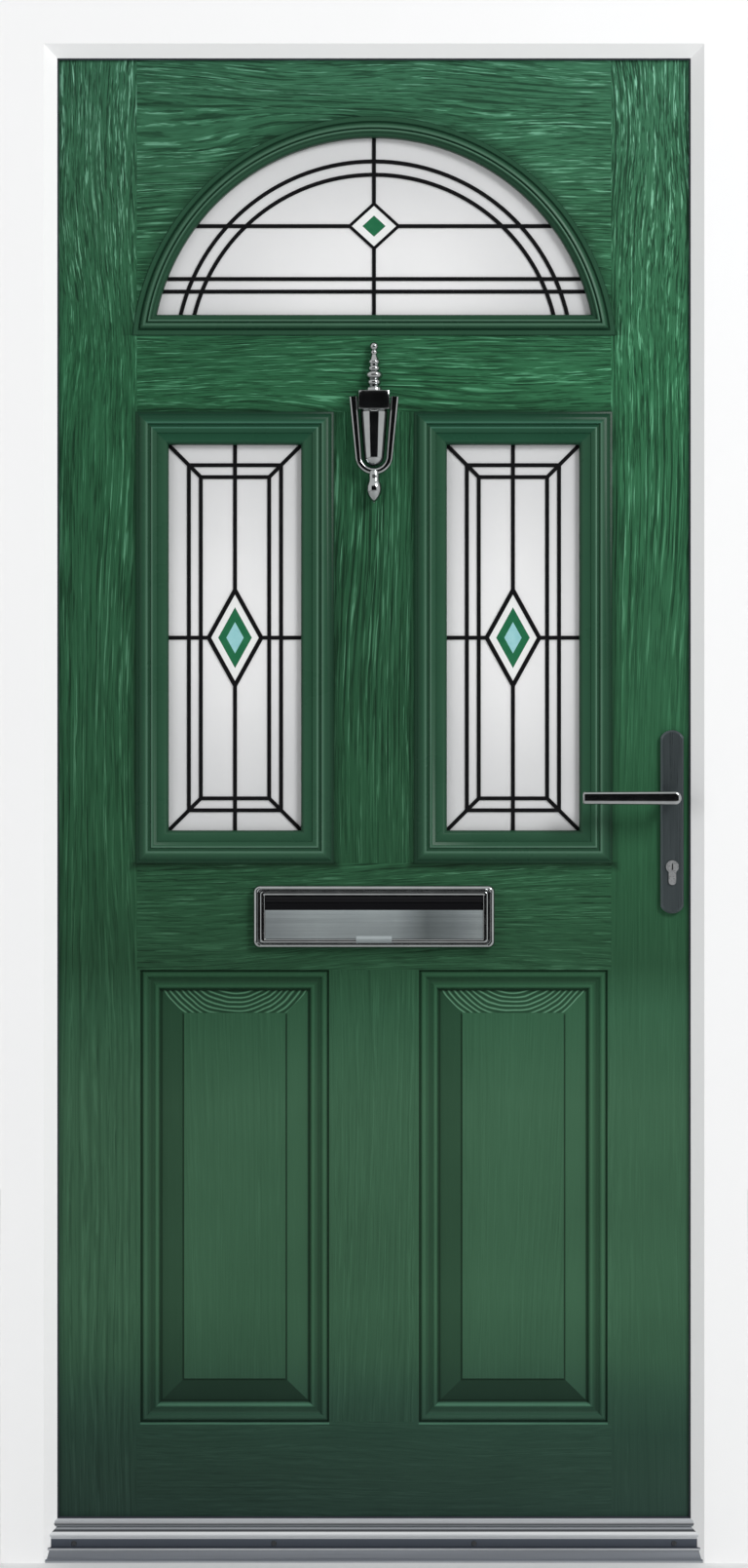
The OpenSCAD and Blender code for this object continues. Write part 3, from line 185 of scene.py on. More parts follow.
brushing, ends, out = group("Brushing",
    [("Place", "NodeSocketVector", None), ("Stretch", "NodeSocketVector", (1.0, 1.0, 1.0)),
     ("From", "NodeSocketFloat", 0.3), ("To", "NodeSocketFloat", 0.45)],
    [("Value", "NodeSocketFloat"), ("Line", "NodeSocketFloat")])
stretched = add(brushing, "ShaderNodeVectorMath", {0: ends.outputs["Place"], 1: ends.outputs["Stretch"]},
    operation="MULTIPLY").outputs[0]
lines = add(brushing, "ShaderNodeTexNoise", {"Vector": stretched, "Scale": 1.0, "Detail": 3.0, "Roughness": 0.7})
brushing.links.new(spread(brushing, lines.outputs["Fac"], 0.3, 0.7, ends.outputs["From"], ends.outputs["To"]),
    out.inputs["Value"])
brushing.links.new(lines.outputs["Fac"], out.inputs["Line"])

sill_h = 0.060
threshold_metal, tree, shader, place = finish("threshold_metal", Metallic=0.55)
streak = use(tree, brushing, Place=place, Stretch=(3.0, 900.0, 900.0), From=0.28, To=0.5)
height = add(tree, "ShaderNodeSeparateXYZ", {0: place}).outputs[2]
# Painted light and shade in stripes by height: pale stripes are painted highlights, dark ones painted shade
painted_light_bands = steps(tree, calc(tree, "DIVIDE", height, sill_h), (0.02, (0.55, 0.57, 0.60)), (0.05, (0.24, 0.26, 0.29)),
    (0.25, (0.32, 0.34, 0.37)), (0.27, (0.70, 0.72, 0.74)), (0.30, (0.70, 0.72, 0.74)), (0.32, (0.055, 0.065, 0.085)),
    (0.51, (0.085, 0.10, 0.125)), (0.53, (0.74, 0.76, 0.78)), (0.66, (0.80, 0.81, 0.82)), (0.68, (0.05, 0.055, 0.06)),
    (0.71, (0.06, 0.065, 0.07)), (0.73, (0.34, 0.36, 0.38)), (0.80, (0.30, 0.32, 0.34)), (0.83, (0.07, 0.075, 0.08)),
    (0.87, (0.62, 0.64, 0.66)), (0.95, (0.50, 0.52, 0.54)))
worn = blend_colours(tree, streak["Line"], (0.72, 0.73, 0.75), (1.0, 1.0, 1.0))
tree.links.new(times(tree, painted_light_bands, worn), shader.inputs["Base Color"])
tree.links.new(streak["Value"], shader.inputs["Roughness"])
bump(tree, shader, streak["Line"], 0.00003)
dress(threshold_metal, "threshold")

screw_steel, tree, shader, place = finish("screw_steel", Metallic=1.0)
tone = use(tree, clouding, Place=place, Size=400.0, From=0.35, To=0.6)
coat(tree, shader, tone["Mask"], (0.05, 0.052, 0.056), (0.13, 0.133, 0.14), tone["Value"])
dress(screw_steel, "threshold_screws")


# Leaf skins: two moulded sheets with an embossed timber grain, glued over the core.
# Deep green paint with painted light and shade: brighter towards the top and the right, painted shade round the lights
# and in the mouldings, painted highlights on their rounds; the grain runs up the stiles and muntins and along the
# rails.

grain, ends, out = group("Embossed grain",
    [("Place", "NodeSocketVector", None), ("Sway", "NodeSocketFloat", 0.016), ("Run", "NodeSocketFloat", 1.0)],
    [("Ridge", "NodeSocketFloat")])
across, depth, along = add(grain, "ShaderNodeSeparateXYZ", {0: ends.outputs["Place"]}).outputs
along = calc(grain, "MULTIPLY", along, ends.outputs["Run"])


def product(tree, *factors):
    """All the factors multiplied."""
    made = factors[0]
    for factor in factors[1:]:
        made = calc(tree, "MULTIPLY", made, factor)
    return made


def drawn_noise(fine, long, detail, at=across):
    """Noise drawn out along the grain: fine repeats a metre across it and long repeats along it."""
    spot = add(grain, "ShaderNodeCombineXYZ", {0: product(grain, at, fine), 1: product(grain, depth, 20.0),
        2: product(grain, along, long)}).outputs[0]
    made = add(grain, "ShaderNodeTexNoise", {"Vector": spot, "Scale": 1.0, "Detail": detail, "Roughness": 0.6})
    return made.outputs["Fac"]


def risen(value, low, high):
    """0 below low and 1 above high, with a soft step between them."""
    return spread(grain, value, low, high, shape="SMOOTHSTEP")


def swung(noise, reach):
    """Shifts a noise so that it swings about 0 by its reach."""
    return product(grain, calc(grain, "SUBTRACT", noise, 0.5), reach)


furrow_rate = 700.0  # radians a metre, so that a furrow comes each 9 mm
sway = swung(drawn_noise(6.0, 1.7, 1.0), product(grain, ends.outputs["Sway"], 8.0))
quiver = swung(drawn_noise(45.0, 9.0, 1.0), 0.006)
swayed = calc(grain, "ADD", across, calc(grain, "ADD", sway, quiver))
waves = risen(drawn_noise(230.0, 3.0, 2.0, swayed), 0.42, 0.62)
flecks = risen(drawn_noise(430.0, 26.0, 2.0, swayed), 0.46, 0.60)
hair = risen(drawn_noise(700.0, 30.0, 1.0, swayed), 0.44, 0.58)
pores = risen(drawn_noise(430.0, 22.0, 2.0, calc(grain, "ADD", swayed, 5.0)), 0.52, 0.61)
furrows = risen(calc(grain, "SINE", product(grain, swayed, furrow_rate)), 0.25, 0.95)
patches = risen(drawn_noise(16.0, 5.0, 1.0, calc(grain, "ADD", across, 3.0)), 0.40, 0.60)
raised = calc(grain, "ADD", product(grain, waves, flecks, 0.80), product(grain, hair, 0.16))
sunk = calc(grain, "ADD", product(grain, pores, 0.36), product(grain, furrows, patches, 0.40))
grain.links.new(calc(grain, "SUBTRACT", raised, sunk), out.inputs["Ridge"])

# Places on the leaf in metres, x from its middle line and z from the floor
stile_x = 0.3185
bay_x = 0.187
low_bay, high_bay = (0.1855, 0.792), (0.9355, 1.5415)
muntin_half_w = 0.054
field_z, field_half_w, field_half_h = 0.4885, 0.069, 0.246
slope_w, panel_w = 0.030, 0.0575
tall_z, tall_half_w, tall_half_h = 1.2385, 0.133, 0.303
arch_z, arch_radius, arch_base = 1.612, 0.326, 0.032
light_foot_z, field_edge_shade_top_z = 0.937, 0.733
leaf_half_w, leaf_top_z = 0.43, 2.05

leaf_green, tree, shader, place = finish("leaf_green", Specular_IOR_Level=0.08)
x, y, z = add(tree, "ShaderNodeSeparateXYZ", {0: place}).outputs
from_middle = calc(tree, "ABSOLUTE", x)


def between(tree, value, low, high):
    """1 where value lies between low and high, otherwise 0."""
    return product(tree, calc(tree, "GREATER_THAN", value, low), calc(tree, "LESS_THAN", value, high))


def either(tree, share, first, second):
    """The first number where share is 0 and the second where it is 1."""
    return add(tree, "ShaderNodeMix", {0: share, 2: first, 3: second}, data_type="FLOAT").outputs[0]


def past_edge(tree, value, middle, half):
    """How far value lies beyond half a width from the middle; less than 0 within it."""
    return calc(tree, "SUBTRACT", calc(tree, "ABSOLUTE", calc(tree, "SUBTRACT", value, middle)), half)


def distance(tree, across, up):
    """Root of the sum of two squares: how far a point of the leaf lies from a centre."""
    spot = add(tree, "ShaderNodeCombineXYZ", {0: across, 2: up}).outputs[0]
    return add(tree, "ShaderNodeVectorMath", {0: spot}, operation="LENGTH").outputs["Value"]


# Zones: stiles, rails and muntins, and the field, slopes and mouldings of the two lower panels
stile = calc(tree, "GREATER_THAN", from_middle, stile_x)
lock_rail = between(tree, z, low_bay[1], high_bay[0])
beside_lights = between(tree, z, *high_bay)
above_lights = calc(tree, "GREATER_THAN", z, high_bay[1])
muntin = product(tree, beside_lights, calc(tree, "LESS_THAN", from_middle, muntin_half_w))
upright = calc(tree, "MAXIMUM", stile, calc(tree, "MAXIMUM", between(tree, z, *low_bay), beside_lights))
from_field = calc(tree, "SUBTRACT", x, product(tree, calc(tree, "SIGN", x), bay_x))
past_side = calc(tree, "SUBTRACT", calc(tree, "ABSOLUTE", from_field), field_half_w)
past_end = past_edge(tree, z, field_z, field_half_h)
past = calc(tree, "MAXIMUM", past_side, past_end)
in_panel = calc(tree, "LESS_THAN", past, panel_w)
in_field = calc(tree, "LESS_THAN", past, 0.0)
on_slope = between(tree, past, 0.0, slope_w)
at_side = calc(tree, "GREATER_THAN", past_side, past_end)
below = calc(tree, "LESS_THAN", z, field_z)
at_foot = product(tree, below, calc(tree, "GREATER_THAN", past_end, past_side))

# Grain: short flecks at the top of the stiles and long ones below, weak in the panels; its contrast carries a painted
# glare, strongest at the top and on the right stile's top, faint low down
long_grain, short_grain = [use(tree, grain, Place=place, Sway=0.010, Run=run)["Ridge"] for run in (0.55, 1.5)]
up_grain = either(tree, spread(tree, z, 1.4, 1.75), long_grain, short_grain)
turned = add(tree, "ShaderNodeCombineXYZ", {0: z, 1: y, 2: x}).outputs[0]
level_grain = use(tree, grain, Place=turned, Sway=0.012)["Ridge"]
ridge = either(tree, upright, level_grain, up_grain)
rail_strength = calc(tree, "ADD", 0.66, product(tree, lock_rail, 0.5))
rail_strength = calc(tree, "ADD", rail_strength, product(tree, above_lights, 0.16))
strength = either(tree, in_panel, either(tree, stile, rail_strength, 1.0), 0.12)
strength = calc(tree, "ADD", strength, product(tree, in_field, 0.22))
strength = calc(tree, "ADD", strength, product(tree, muntin, 0.3))
# Painted glare: the right stile's grain is faint below 1 m and strongest above 1.5 m, and all grain fades low on the
# door
right_stile_glare = either(tree, calc(tree, "GREATER_THAN", x, stile_x), 1.0, spread(tree, z, 1.0, 1.5, 0.3, 1.15))
strength = product(tree, strength, right_stile_glare, spread(tree, z, 0.65, 1.4, 0.24, 1.0))

# Swirls: rings of grain about a knot above each lower panel, embossed on the panel's top slope
knot_z, ring_rate = 0.825, 1050.0  # a ring each 6 mm
wobble = add(tree, "ShaderNodeTexNoise", {"Vector": place, "Scale": 30.0, "Detail": 1.0}).outputs["Fac"]
reach = distance(tree, calc(tree, "SUBTRACT", from_middle, bay_x), calc(tree, "SUBTRACT", z, knot_z))
rings = calc(tree, "SINE", product(tree, calc(tree, "ADD", reach, product(tree, wobble, 0.006)), ring_rate))
on_top = product(tree, on_slope, calc(tree, "LESS_THAN", calc(tree, "ADD", at_side, below), 0.5))
swirl = product(tree, calc(tree, "MAXIMUM", rings, -0.5), on_top, 0.6)
ridge = calc(tree, "ADD", product(tree, ridge, strength), swirl)

# Paint: darker in the pores and paler on the ridges, its palest flecks a painted glare; painted light and shade vary it
# by height, and painted light makes it brighter towards the right
cloudy = add(tree, "ShaderNodeTexNoise", {"Vector": place, "Scale": 3.5, "Detail": 3.0}).outputs["Fac"]
mottled = calc(tree, "ADD", ridge, product(tree, calc(tree, "SUBTRACT", cloudy, 0.5), 0.35))
paint = steps(tree, calc(tree, "ADD", product(tree, mottled, 0.7), 0.25), (0.0, (0.024, 0.066, 0.036)),
    (0.25, (0.056, 0.150, 0.082)), (0.5, (0.092, 0.228, 0.130)), (0.95, (0.36, 0.60, 0.43)))
# Painted light and shade by height: darker at the foot and across the lock rail, brightest at the top
painted_light_by_height = steps(tree, calc(tree, "DIVIDE", z, leaf_top_z), (0.024, (0.36, 0.30, 0.42)), (0.057, (0.39, 0.34, 0.44)),
    (0.082, (0.39, 0.37, 0.46)), (0.1075, (0.49, 0.48, 0.555)), (0.133, (0.63, 0.63, 0.65)), (0.17, (0.75, 0.75, 0.75)),
    (0.30, (0.76, 0.76, 0.76)), (0.3615, (0.53, 0.63, 0.60)), (0.39, (0.345, 0.45, 0.40)), (0.463, (0.38, 0.56, 0.475)),
    (0.61, (0.41, 0.63, 0.54)), (0.78, (0.40, 0.72, 0.585)), (0.878, (0.54, 0.78, 0.71)), (0.976, (0.61, 0.85, 0.83)))
# Painted light: brighter towards the right, most above the lock rail
to_right = product(tree, x, spread(tree, z, 0.75, 0.95, 0.65))
to_right = spread(tree, to_right, -leaf_half_w, leaf_half_w)
painted_light_to_right = blend_colours(tree, to_right, (0.82, 0.82, 0.82), (1.16, 1.16, 1.16))

# Painted shade: a dark halo round the lights, deepest under their feet, darker left and bottom slopes of the panels and
# a dark line round each field; a painted highlight on the lip at each panel's foot
bow_gap = calc(tree, "SUBTRACT", distance(tree, x, calc(tree, "SUBTRACT", z, arch_z)), arch_radius)
bow_gap = calc(tree, "ADD", bow_gap, calc(tree, "LESS_THAN", z, arch_z + arch_base))
tall_gap = calc(tree, "MAXIMUM", past_edge(tree, from_middle, bay_x, tall_half_w),
    past_edge(tree, z, tall_z, tall_half_h))
gap = calc(tree, "MINIMUM", product(tree, bow_gap, 0.7), tall_gap)
halo_w, lip_w = 0.014, 0.0485
deepest = either(tree, calc(tree, "LESS_THAN", z, light_foot_z), 0.36, 0.66)
painted_shade = spread(tree, gap, 0.0, halo_w, deepest, 0.0, "SMOOTHSTEP")
side_tone = either(tree, calc(tree, "GREATER_THAN", from_field, 0.0), 0.31, 0.0)
slope_tone = either(tree, at_side, product(tree, below, 0.52), side_tone)
field_edge_shade = product(tree, between(tree, past, -0.001, 0.0012), calc(tree, "LESS_THAN", z, field_edge_shade_top_z))
painted_shade = calc(tree, "MAXIMUM", painted_shade, product(tree, on_slope, slope_tone))
painted_shade = calc(tree, "MAXIMUM", painted_shade, product(tree, field_edge_shade, 0.62))
# Painted highlight on the lip below each field
lip = product(tree, between(tree, past_end, slope_w, lip_w), at_foot)
painted_shade = calc(tree, "SUBTRACT", painted_shade, product(tree, lip, 0.3))

# Painted shade in the quirks of the panels' mouldings, painted highlights on their rounds and on the edges at their
# feet; a little darker on the muntin between the lights
groove_span, plain_grey = 0.06, 0.86
edge_highlight_bands = (0.0318, 0.0358), (0.0578, 0.0606)
grooves = steps(tree, calc(tree, "DIVIDE", past, groove_span), *[(at, (grey, grey, grey)) for at, grey in (
    (0.47, plain_grey), (0.485, 0.40), (0.525, 0.40), (0.55, 0.82), (0.60, 1.0), (0.655, 0.78), (0.715, 0.52),
    (0.775, 0.78), (0.855, 1.0), (0.92, 0.74), (0.935, 0.35), (0.962, 0.35), (0.968, plain_grey))])
edge_highlight = calc(tree, "MAXIMUM", *[between(tree, past_end, *band) for band in edge_highlight_bands])
edge_highlight = product(tree, edge_highlight, at_foot, calc(tree, "LESS_THAN", past_side, 0.058))
left_over = product(tree, calc(tree, "SUBTRACT", 1.0, painted_shade), calc(tree, "DIVIDE", grooves, plain_grey))
left_over = calc(tree, "MAXIMUM", left_over, product(tree, edge_highlight, 2.4))
left_over = product(tree, left_over, calc(tree, "SUBTRACT", 1.0, product(tree, muntin, 0.16)))
shaded = add(tree, "ShaderNodeCombineColor", {0: left_over, 1: left_over, 2: left_over}).outputs[0]
tree.links.new(times(tree, times(tree, paint, painted_light_by_height), times(tree, painted_light_to_right, shaded)), shader.inputs["Base Color"])
sheen = use(tree, clouding, Place=place, Size=9.0, From=0.40, To=0.54)
tree.links.new(sheen["Value"], shader.inputs["Roughness"])
bump(tree, shader, ridge, 0.0009)
dress(leaf_green, "outer_skin", "inner_skin")


# Leaf core: laminated timber stiles and rails round a slab of foam, hidden between the skins.
# Pale straight-grained timber and cream foam with fine cells.

timber, tree, shader, place = finish("core_timber", Roughness=0.7)
figure = use(tree, grain, Place=place)["Ridge"]
tree.links.new(steps(tree, figure, (0.25, (0.30, 0.18, 0.09)), (0.6, (0.52, 0.36, 0.20))), shader.inputs["Base Color"])
bump(tree, shader, figure, 0.0003)
dress(timber, "hinge_stile", "lock_stile", "top_rail", "bottom_rail")

foam, tree, shader, place = finish("core_foam", Roughness=0.9)
cells = add(tree, "ShaderNodeTexVoronoi", {"Vector": place, "Scale": 700.0})
coat(tree, shader, cells.outputs["Distance"], (0.62, 0.54, 0.34), (0.80, 0.74, 0.55))
bump(tree, shader, cells.outputs["Distance"], 0.0003)
dress(foam, "foam_core")


# Glazing cassettes: moulded frames that clamp the glass from both faces of the leaf, one pair to a light.
# Moulded in the leaf's green with a soft satin, with painted shade in the quirks and painted highlights on the rounds;
# each is a run of moulding, mitred at its corners and screwed through.
# Sections are in millimetres: how far in from the outline, and how far above the leaf.

leaf_face = -0.013
leaf_middle = 0.009


def member(centre, radius, start, end, count=9):
    """Round member of a moulding: points on an arc about centre, between two angles in degrees."""
    turn = np.radians(np.linspace(start, end, count))
    return np.stack([centre[0] + radius * np.cos(turn), centre[1] + radius * np.sin(turn)], axis=1)


def skin_over(grid, along=True):
    """Quads over a grid of points (rows, columns, 3): the last column joins the first, and with along the last row."""
    number = np.arange(grid.shape[0] * grid.shape[1]).reshape(grid.shape[:2])
    if along:
        number = np.concatenate([number, number[:1]])
    number = np.concatenate([number, number[:, :1]], axis=1)
    quads = np.stack([number[:-1, :-1], number[:-1, 1:], number[1:, 1:], number[1:, :-1]], axis=-1)
    return grid.reshape(-1, 3), quads.reshape(-1, 4).tolist()


def put(name, data):
    """New object in the scene."""
    made = bpy.data.objects.new(name, data)
    bpy.context.collection.objects.link(made)
    return made


def make_piece(name, material, body, slot, nodes, *shells, crisp=32.0, shade=None):
    """One piece from closed shells of points and faces, in place of its CAD nodes; folds past crisp degrees stay sharp.
    A shade is one value a point of painted shade, kept on the mesh for its material."""
    points, faces = [], []
    for shell_points, shell_faces in shells:
        start = sum(len(p) for p in points)
        faces += [[start + corner for corner in face] for face in shell_faces]
        points.append(shell_points)
    mesh = bpy.data.meshes.new(name)
    mesh.from_pydata(np.concatenate(points).tolist(), [], faces)
    if shade is not None:
        mesh.attributes.new("shade", "FLOAT", "POINT").data.foreach_set("value", np.ravel(shade).astype(np.float32))
    form = bmesh.new()
    form.from_mesh(mesh)
    bmesh.ops.remove_doubles(form, verts=form.verts, dist=2e-6)
    bmesh.ops.dissolve_degenerate(form, dist=2e-6, edges=form.edges)
    bmesh.ops.recalc_face_normals(form, faces=form.faces)
    form.to_mesh(mesh)
    form.free()
    mesh.polygons.foreach_set("use_smooth", np.ones(len(mesh.polygons), dtype=bool))
    mesh.set_sharp_from_angle(angle=math.radians(crisp))
    mesh.materials.append(material)
    made = put(name, mesh)
    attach(made, body)
    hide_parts(*nodes)


def other_face(shell):
    """The same shell on the inside of the leaf: mirrored about the leaf's middle plane."""
    points, faces = shell
    return points * [1, -1, 1] + [0, 2 * leaf_middle, 0], faces


def square_run(section, half_w, half_h, x, z):
    """Moulding round a rectangle: a section point inset by u follows the rectangle whose half sides are less by u."""
    inset, rise = section.T[:, :, None] / 1000
    corner = np.array([[-1, -1], [1, -1], [1, 1], [-1, 1]]).T[:, None]
    across = x + corner[0] * (half_w - inset)
    up = z + corner[1] * (half_h - inset)
    return skin_over(np.stack([across, np.broadcast_to(leaf_face - rise, across.shape), up], axis=-1))


def bowed_run(section, radius, base, z, count=121):
    """Moulding round an arch: a section point inset by u follows the circle whose radius is less by u, down to a line
    that lies base plus u above the circle's centre."""
    inset, rise = section.T[:, :, None] / 1000
    start = np.arcsin((base + inset) / (radius - inset))
    turn = start + (np.pi - 2 * start) * np.linspace(0, 1, count)
    across = (radius - inset) * np.cos(turn)
    up = z + (radius - inset) * np.sin(turn)
    return skin_over(np.stack([across, np.broadcast_to(leaf_face - rise, across.shape), up], axis=-1))


cassette_green, tree, shader, place = finish("cassette_green", Specular_IOR_Level=0.1)
tone = use(tree, clouding, Place=place, Size=14.0, From=0.24, To=0.34)
# Painted shade and highlights across the section, from the shade kept on each point
section_painted_shade = add(tree, "ShaderNodeAttribute", attribute_name="shade").outputs["Fac"]
paint = steps(tree, section_painted_shade, (0.0, (0.095, 0.195, 0.135)), (0.22, (0.033, 0.100, 0.056)),
    (0.6, (0.019, 0.066, 0.036)), (1.0, (0.009, 0.034, 0.018)))
soft = blend_colours(tree, tone["Mask"], (0.82, 0.82, 0.82), (1.0, 1.0, 1.0))
x, y, z = add(tree, "ShaderNodeSeparateXYZ", {0: place}).outputs
# Painted shade: the top member of each tall cassette is darker and less red
below_arch_z = 1.56
past_side = past_edge(tree, calc(tree, "ABSOLUTE", x), bay_x, tall_half_w)
past_top = calc(tree, "SUBTRACT", z, tall_z + tall_half_h)
top_member = product(tree, calc(tree, "GREATER_THAN", past_top, past_side), calc(tree, "LESS_THAN", z, below_arch_z))
soft = times(tree, soft, blend_colours(tree, top_member, (1.0, 1.0, 1.0), (0.62, 0.86, 0.84)))
tree.links.new(times(tree, paint, soft), shader.inputs["Base Color"])
tree.links.new(tone["Value"], shader.inputs["Roughness"])
skin = add(tree, "ShaderNodeTexNoise", {"Vector": place, "Scale": 500.0, "Detail": 2.0})
bump(tree, shader, skin.outputs["Fac"], 0.00005)

tall_section = np.concatenate([[[0, 0], [0, 1]], member((16, -7.5), 16.5, 145, 90), [[17.2, 6], [20, 6]],
    member((23, 6.2), 2.8, 175, 50), [[28.5, 6.6], [29.2, 5.2]], member((36, -3.8), 8, 84, 4),
    [[44, -10], [32, -10], [32, 0]]])
bow_section = np.concatenate([[[0, 0], [0, 1.2], [1, 2.2], [6, 2.2], [7, 1.2], [8.2, 1.2]],
    member((16.5, -0.5), 8.2, 165, 95), [[16.2, 5.8], [17.8, 5.8]], member((19.8, 5.9), 1.9, 170, 45),
    member((20.5, -2.9), 7.5, 78, 4), [[28, -10], [19, -10], [19, 0]]])

# Painted shade at each point of a section, from its outer edge to the glass: 0 for painted highlights on the rounds, 1
# for the deepest painted shade in the quirks
tall_shade = np.array([1, .95, .8, .7, .62, .58, .54, .46, .28, .1, .04, .42, .42, .35, .25, .1, 0, 0, .1, .2, .28, .33,
    .4, .5, .35, .32, .35, .4, .45, .5, .6, .7, .8, 1, 1, 1])
bow_shade = np.array([1, 1, .4, .4, 1, 1, .9, .7, .5, .4, .3, .2, .1, .1, .2, .9, .9, .5, .3, .1, 0, 0, .1, .2, .3, .4,
    .7, .5, .5, .55, .6, .6, .7, .75, .8, 1, 1, 1])
for light, section_shade, run in (("arch", bow_shade, bowed_run(bow_section, arch_radius, arch_base, arch_z)),
        ("left", tall_shade, square_run(tall_section, tall_half_w, tall_half_h, -bay_x, tall_z)),
        ("right", tall_shade, square_run(tall_section, tall_half_w, tall_half_h, bay_x, tall_z))):
    shade = np.repeat(section_shade, len(run[0]) // len(section_shade))
    make_piece(f"{light}_cassette_out", cassette_green, "leaf", "leaf_green", [f"{light}_cassette_outer"], run,
        crisp=38.0, shade=shade)
    make_piece(f"{light}_cassette_in", cassette_green, "leaf", "leaf_green", [f"{light}_cassette_inner"],
        other_face(run), crisp=38.0, shade=shade)


# Sealed glass units: two frosted panes on a grey metal spacer in each light.
# Etched glass, fine and pale, that lets daylight through without a view; a painted glow makes each light paler towards
# its middle.

frosted, tree, shader, place = finish("frosted_glass", IOR=1.45, Transmission_Weight=0.2)
x, y, z = add(tree, "ShaderNodeSeparateXYZ", {0: place}).outputs
frost = add(tree, "ShaderNodeTexNoise", {"Vector": place, "Scale": 420.0, "Detail": 3.0, "Roughness": 0.7})
veil = use(tree, clouding, Place=place, Size=2.5, From=0.42, To=0.55)


def from_centre(tree, across, up, half_w, half_h, centre_z):
    """1 on an oval about the centre of a light, and less within it."""
    return distance(tree, calc(tree, "DIVIDE", across, half_w),
        calc(tree, "DIVIDE", calc(tree, "SUBTRACT", up, centre_z), half_h))


# Painted glow: each light is paler towards its middle and greyer at its edges
from_bay = calc(tree, "SUBTRACT", calc(tree, "ABSOLUTE", x), bay_x)
arch_foot_z = 1.6
in_arch = calc(tree, "GREATER_THAN", z, arch_foot_z)
far = either(tree, in_arch, from_centre(tree, from_bay, z, half_w=0.125, half_h=0.26, centre_z=1.25),
    from_centre(tree, x, z, half_w=0.30, half_h=0.17, centre_z=1.71))
glow = spread(tree, far, 0.2, 1.05, 1.0, 0.0, "SMOOTHSTEP")
pale = blend_colours(tree, glow, (0.775, 0.78, 0.785), (1.0, 1.0, 1.0))
soft = blend_colours(tree, veil["Mask"], (0.92, 0.925, 0.93), (1.0, 1.0, 1.0))
tree.links.new(times(tree, pale, soft), shader.inputs["Base Color"])
tree.links.new(veil["Value"], shader.inputs["Roughness"])
bump(tree, shader, frost.outputs["Fac"], 0.00008)
dress(frosted, *[f"{light}_{face}_pane" for light in ("arch", "left", "right") for face in ("outer", "inner")])

spacer, tree, shader, place = finish("spacer_bar", Metallic=1.0)
tone = use(tree, brushing, Place=place, Stretch=(40.0, 600.0, 40.0), From=0.3, To=0.45)
coat(tree, shader, tone["Line"], (0.34, 0.35, 0.36), (0.52, 0.53, 0.54), tone["Value"])
dress(spacer, "glass_spacers")


# Leaded pattern: flat lead strips stuck on the outer panes, with coloured glass in the lozenges.
# Blackened lead, slightly uneven; the tiles are opal white, bottle green and pale aqua.

lead, tree, shader, place = finish("black_lead", Specular_IOR_Level=0.06)
tone = use(tree, clouding, Place=place, Size=120.0, From=0.45, To=0.7)
coat(tree, shader, tone["Mask"], (0.002, 0.002, 0.0025), (0.008, 0.008, 0.009), tone["Value"])
bump(tree, shader, tone["Mask"], 0.0002)
dress(lead, "arch_came", "side_cames")

for name, deep, pale in (("white_lozenges", (0.80, 0.82, 0.81), (0.90, 0.91, 0.90)),
        ("green_lozenges", (0.012, 0.11, 0.05), (0.03, 0.19, 0.085)),
        ("aqua_lozenges", (0.22, 0.52, 0.55), (0.42, 0.72, 0.74))):
    tile, tree, shader, place = finish(name, IOR=1.52, Coat_Weight=0.4)
    tone = use(tree, clouding, Place=place, Size=70.0, From=0.06, To=0.18)
    coat(tree, shader, tone["Mask"], deep, pale, tone["Value"])
    ripple = add(tree, "ShaderNodeTexNoise", {"Vector": place, "Scale": 160.0, "Detail": 1.0})
    bump(tree, shader, ripple.outputs["Fac"], 0.0002)
    dress(tile, name)


# Letterplate: a surround on each face, a sprung flap in each and a sleeve through the leaf.
# Cast and polished surround with a beaded rim; brushed flap with a painted reflection across it and a black band of
# painted shade along its top; black moulded sleeve.
# Outlines and sections are in millimetres.

bright_chrome, tree, shader, place = finish("bright_chrome", Metallic=1.0)
smudge = use(tree, clouding, Place=place, Size=55.0, From=0.05, To=0.12)
coat(tree, shader, smudge["Mask"], (0.28, 0.295, 0.295), (0.42, 0.435, 0.435), smudge["Value"])


def round_cornered(half_w, low, high, corner, count=9):
    """Points along a rectangle with round corners, from the lower right corner round to the lower left one."""
    turn = np.radians(np.linspace(-90, 0, count) + np.array([[0], [90], [180], [270]]))
    middle_x = np.array([[1], [1], [-1], [-1]]) * (half_w - corner)
    middle_z = np.array([[low + corner], [high - corner], [high - corner], [low + corner]])
    return np.stack([middle_x + corner * np.cos(turn), middle_z + corner * np.sin(turn)], axis=-1).reshape(-1, 2)


def surround():
    """Ruled surface between the plate's outline and the flap's recess: each row of the rim is a share of the way and a
    rise above the leaf, and two more rows carry it over the web to the slot."""
    plate = round_cornered(162.0, 822.0, 906.0, 9.0)
    recess = round_cornered(146.3, 833.7, 892.6, 1.0)
    slot = round_cornered(128.0, 844.0, 884.0, 1.0)
    rim = np.array([[0, 0], [0, 8.6], [0.03, 10.4], [0.09, 11.9], [0.17, 13.0], [0.26, 13.5], [0.34, 13.2],
        [0.40, 12.2], [0.44, 10.4], [0.50, 9.8], [0.55, 10.4], [0.59, 11.8], [0.64, 12.6], [0.72, 12.9], [0.90, 12.9],
        [0.97, 12.4], [1.0, 11.5], [1.0, 2.5]])
    share = rim[:, :1, None]
    outline = np.concatenate([plate * (1 - share) + recess * share, slot[None], slot[None]])
    rise = np.concatenate([rim[:, 1], [2.5, 0.0]])[:, None]
    depth = np.broadcast_to(leaf_face - rise / 1000, outline.shape[:2])
    return skin_over(np.stack([outline[..., 0] / 1000, depth, outline[..., 1] / 1000], axis=-1))


def drawn(section, half_w):
    """Section of points (rise above the leaf, height) carried along X to both sides of the middle, with closed ends."""
    ends = np.array([[-half_w], [half_w]])
    rise, up = section.T
    grid = np.stack(np.broadcast_arrays(ends, leaf_face - rise / 1000, up / 1000), axis=-1)
    points, faces = skin_over(grid, along=False)
    count = len(section)
    return points, faces + [list(range(count)), list(range(count, 2 * count))]


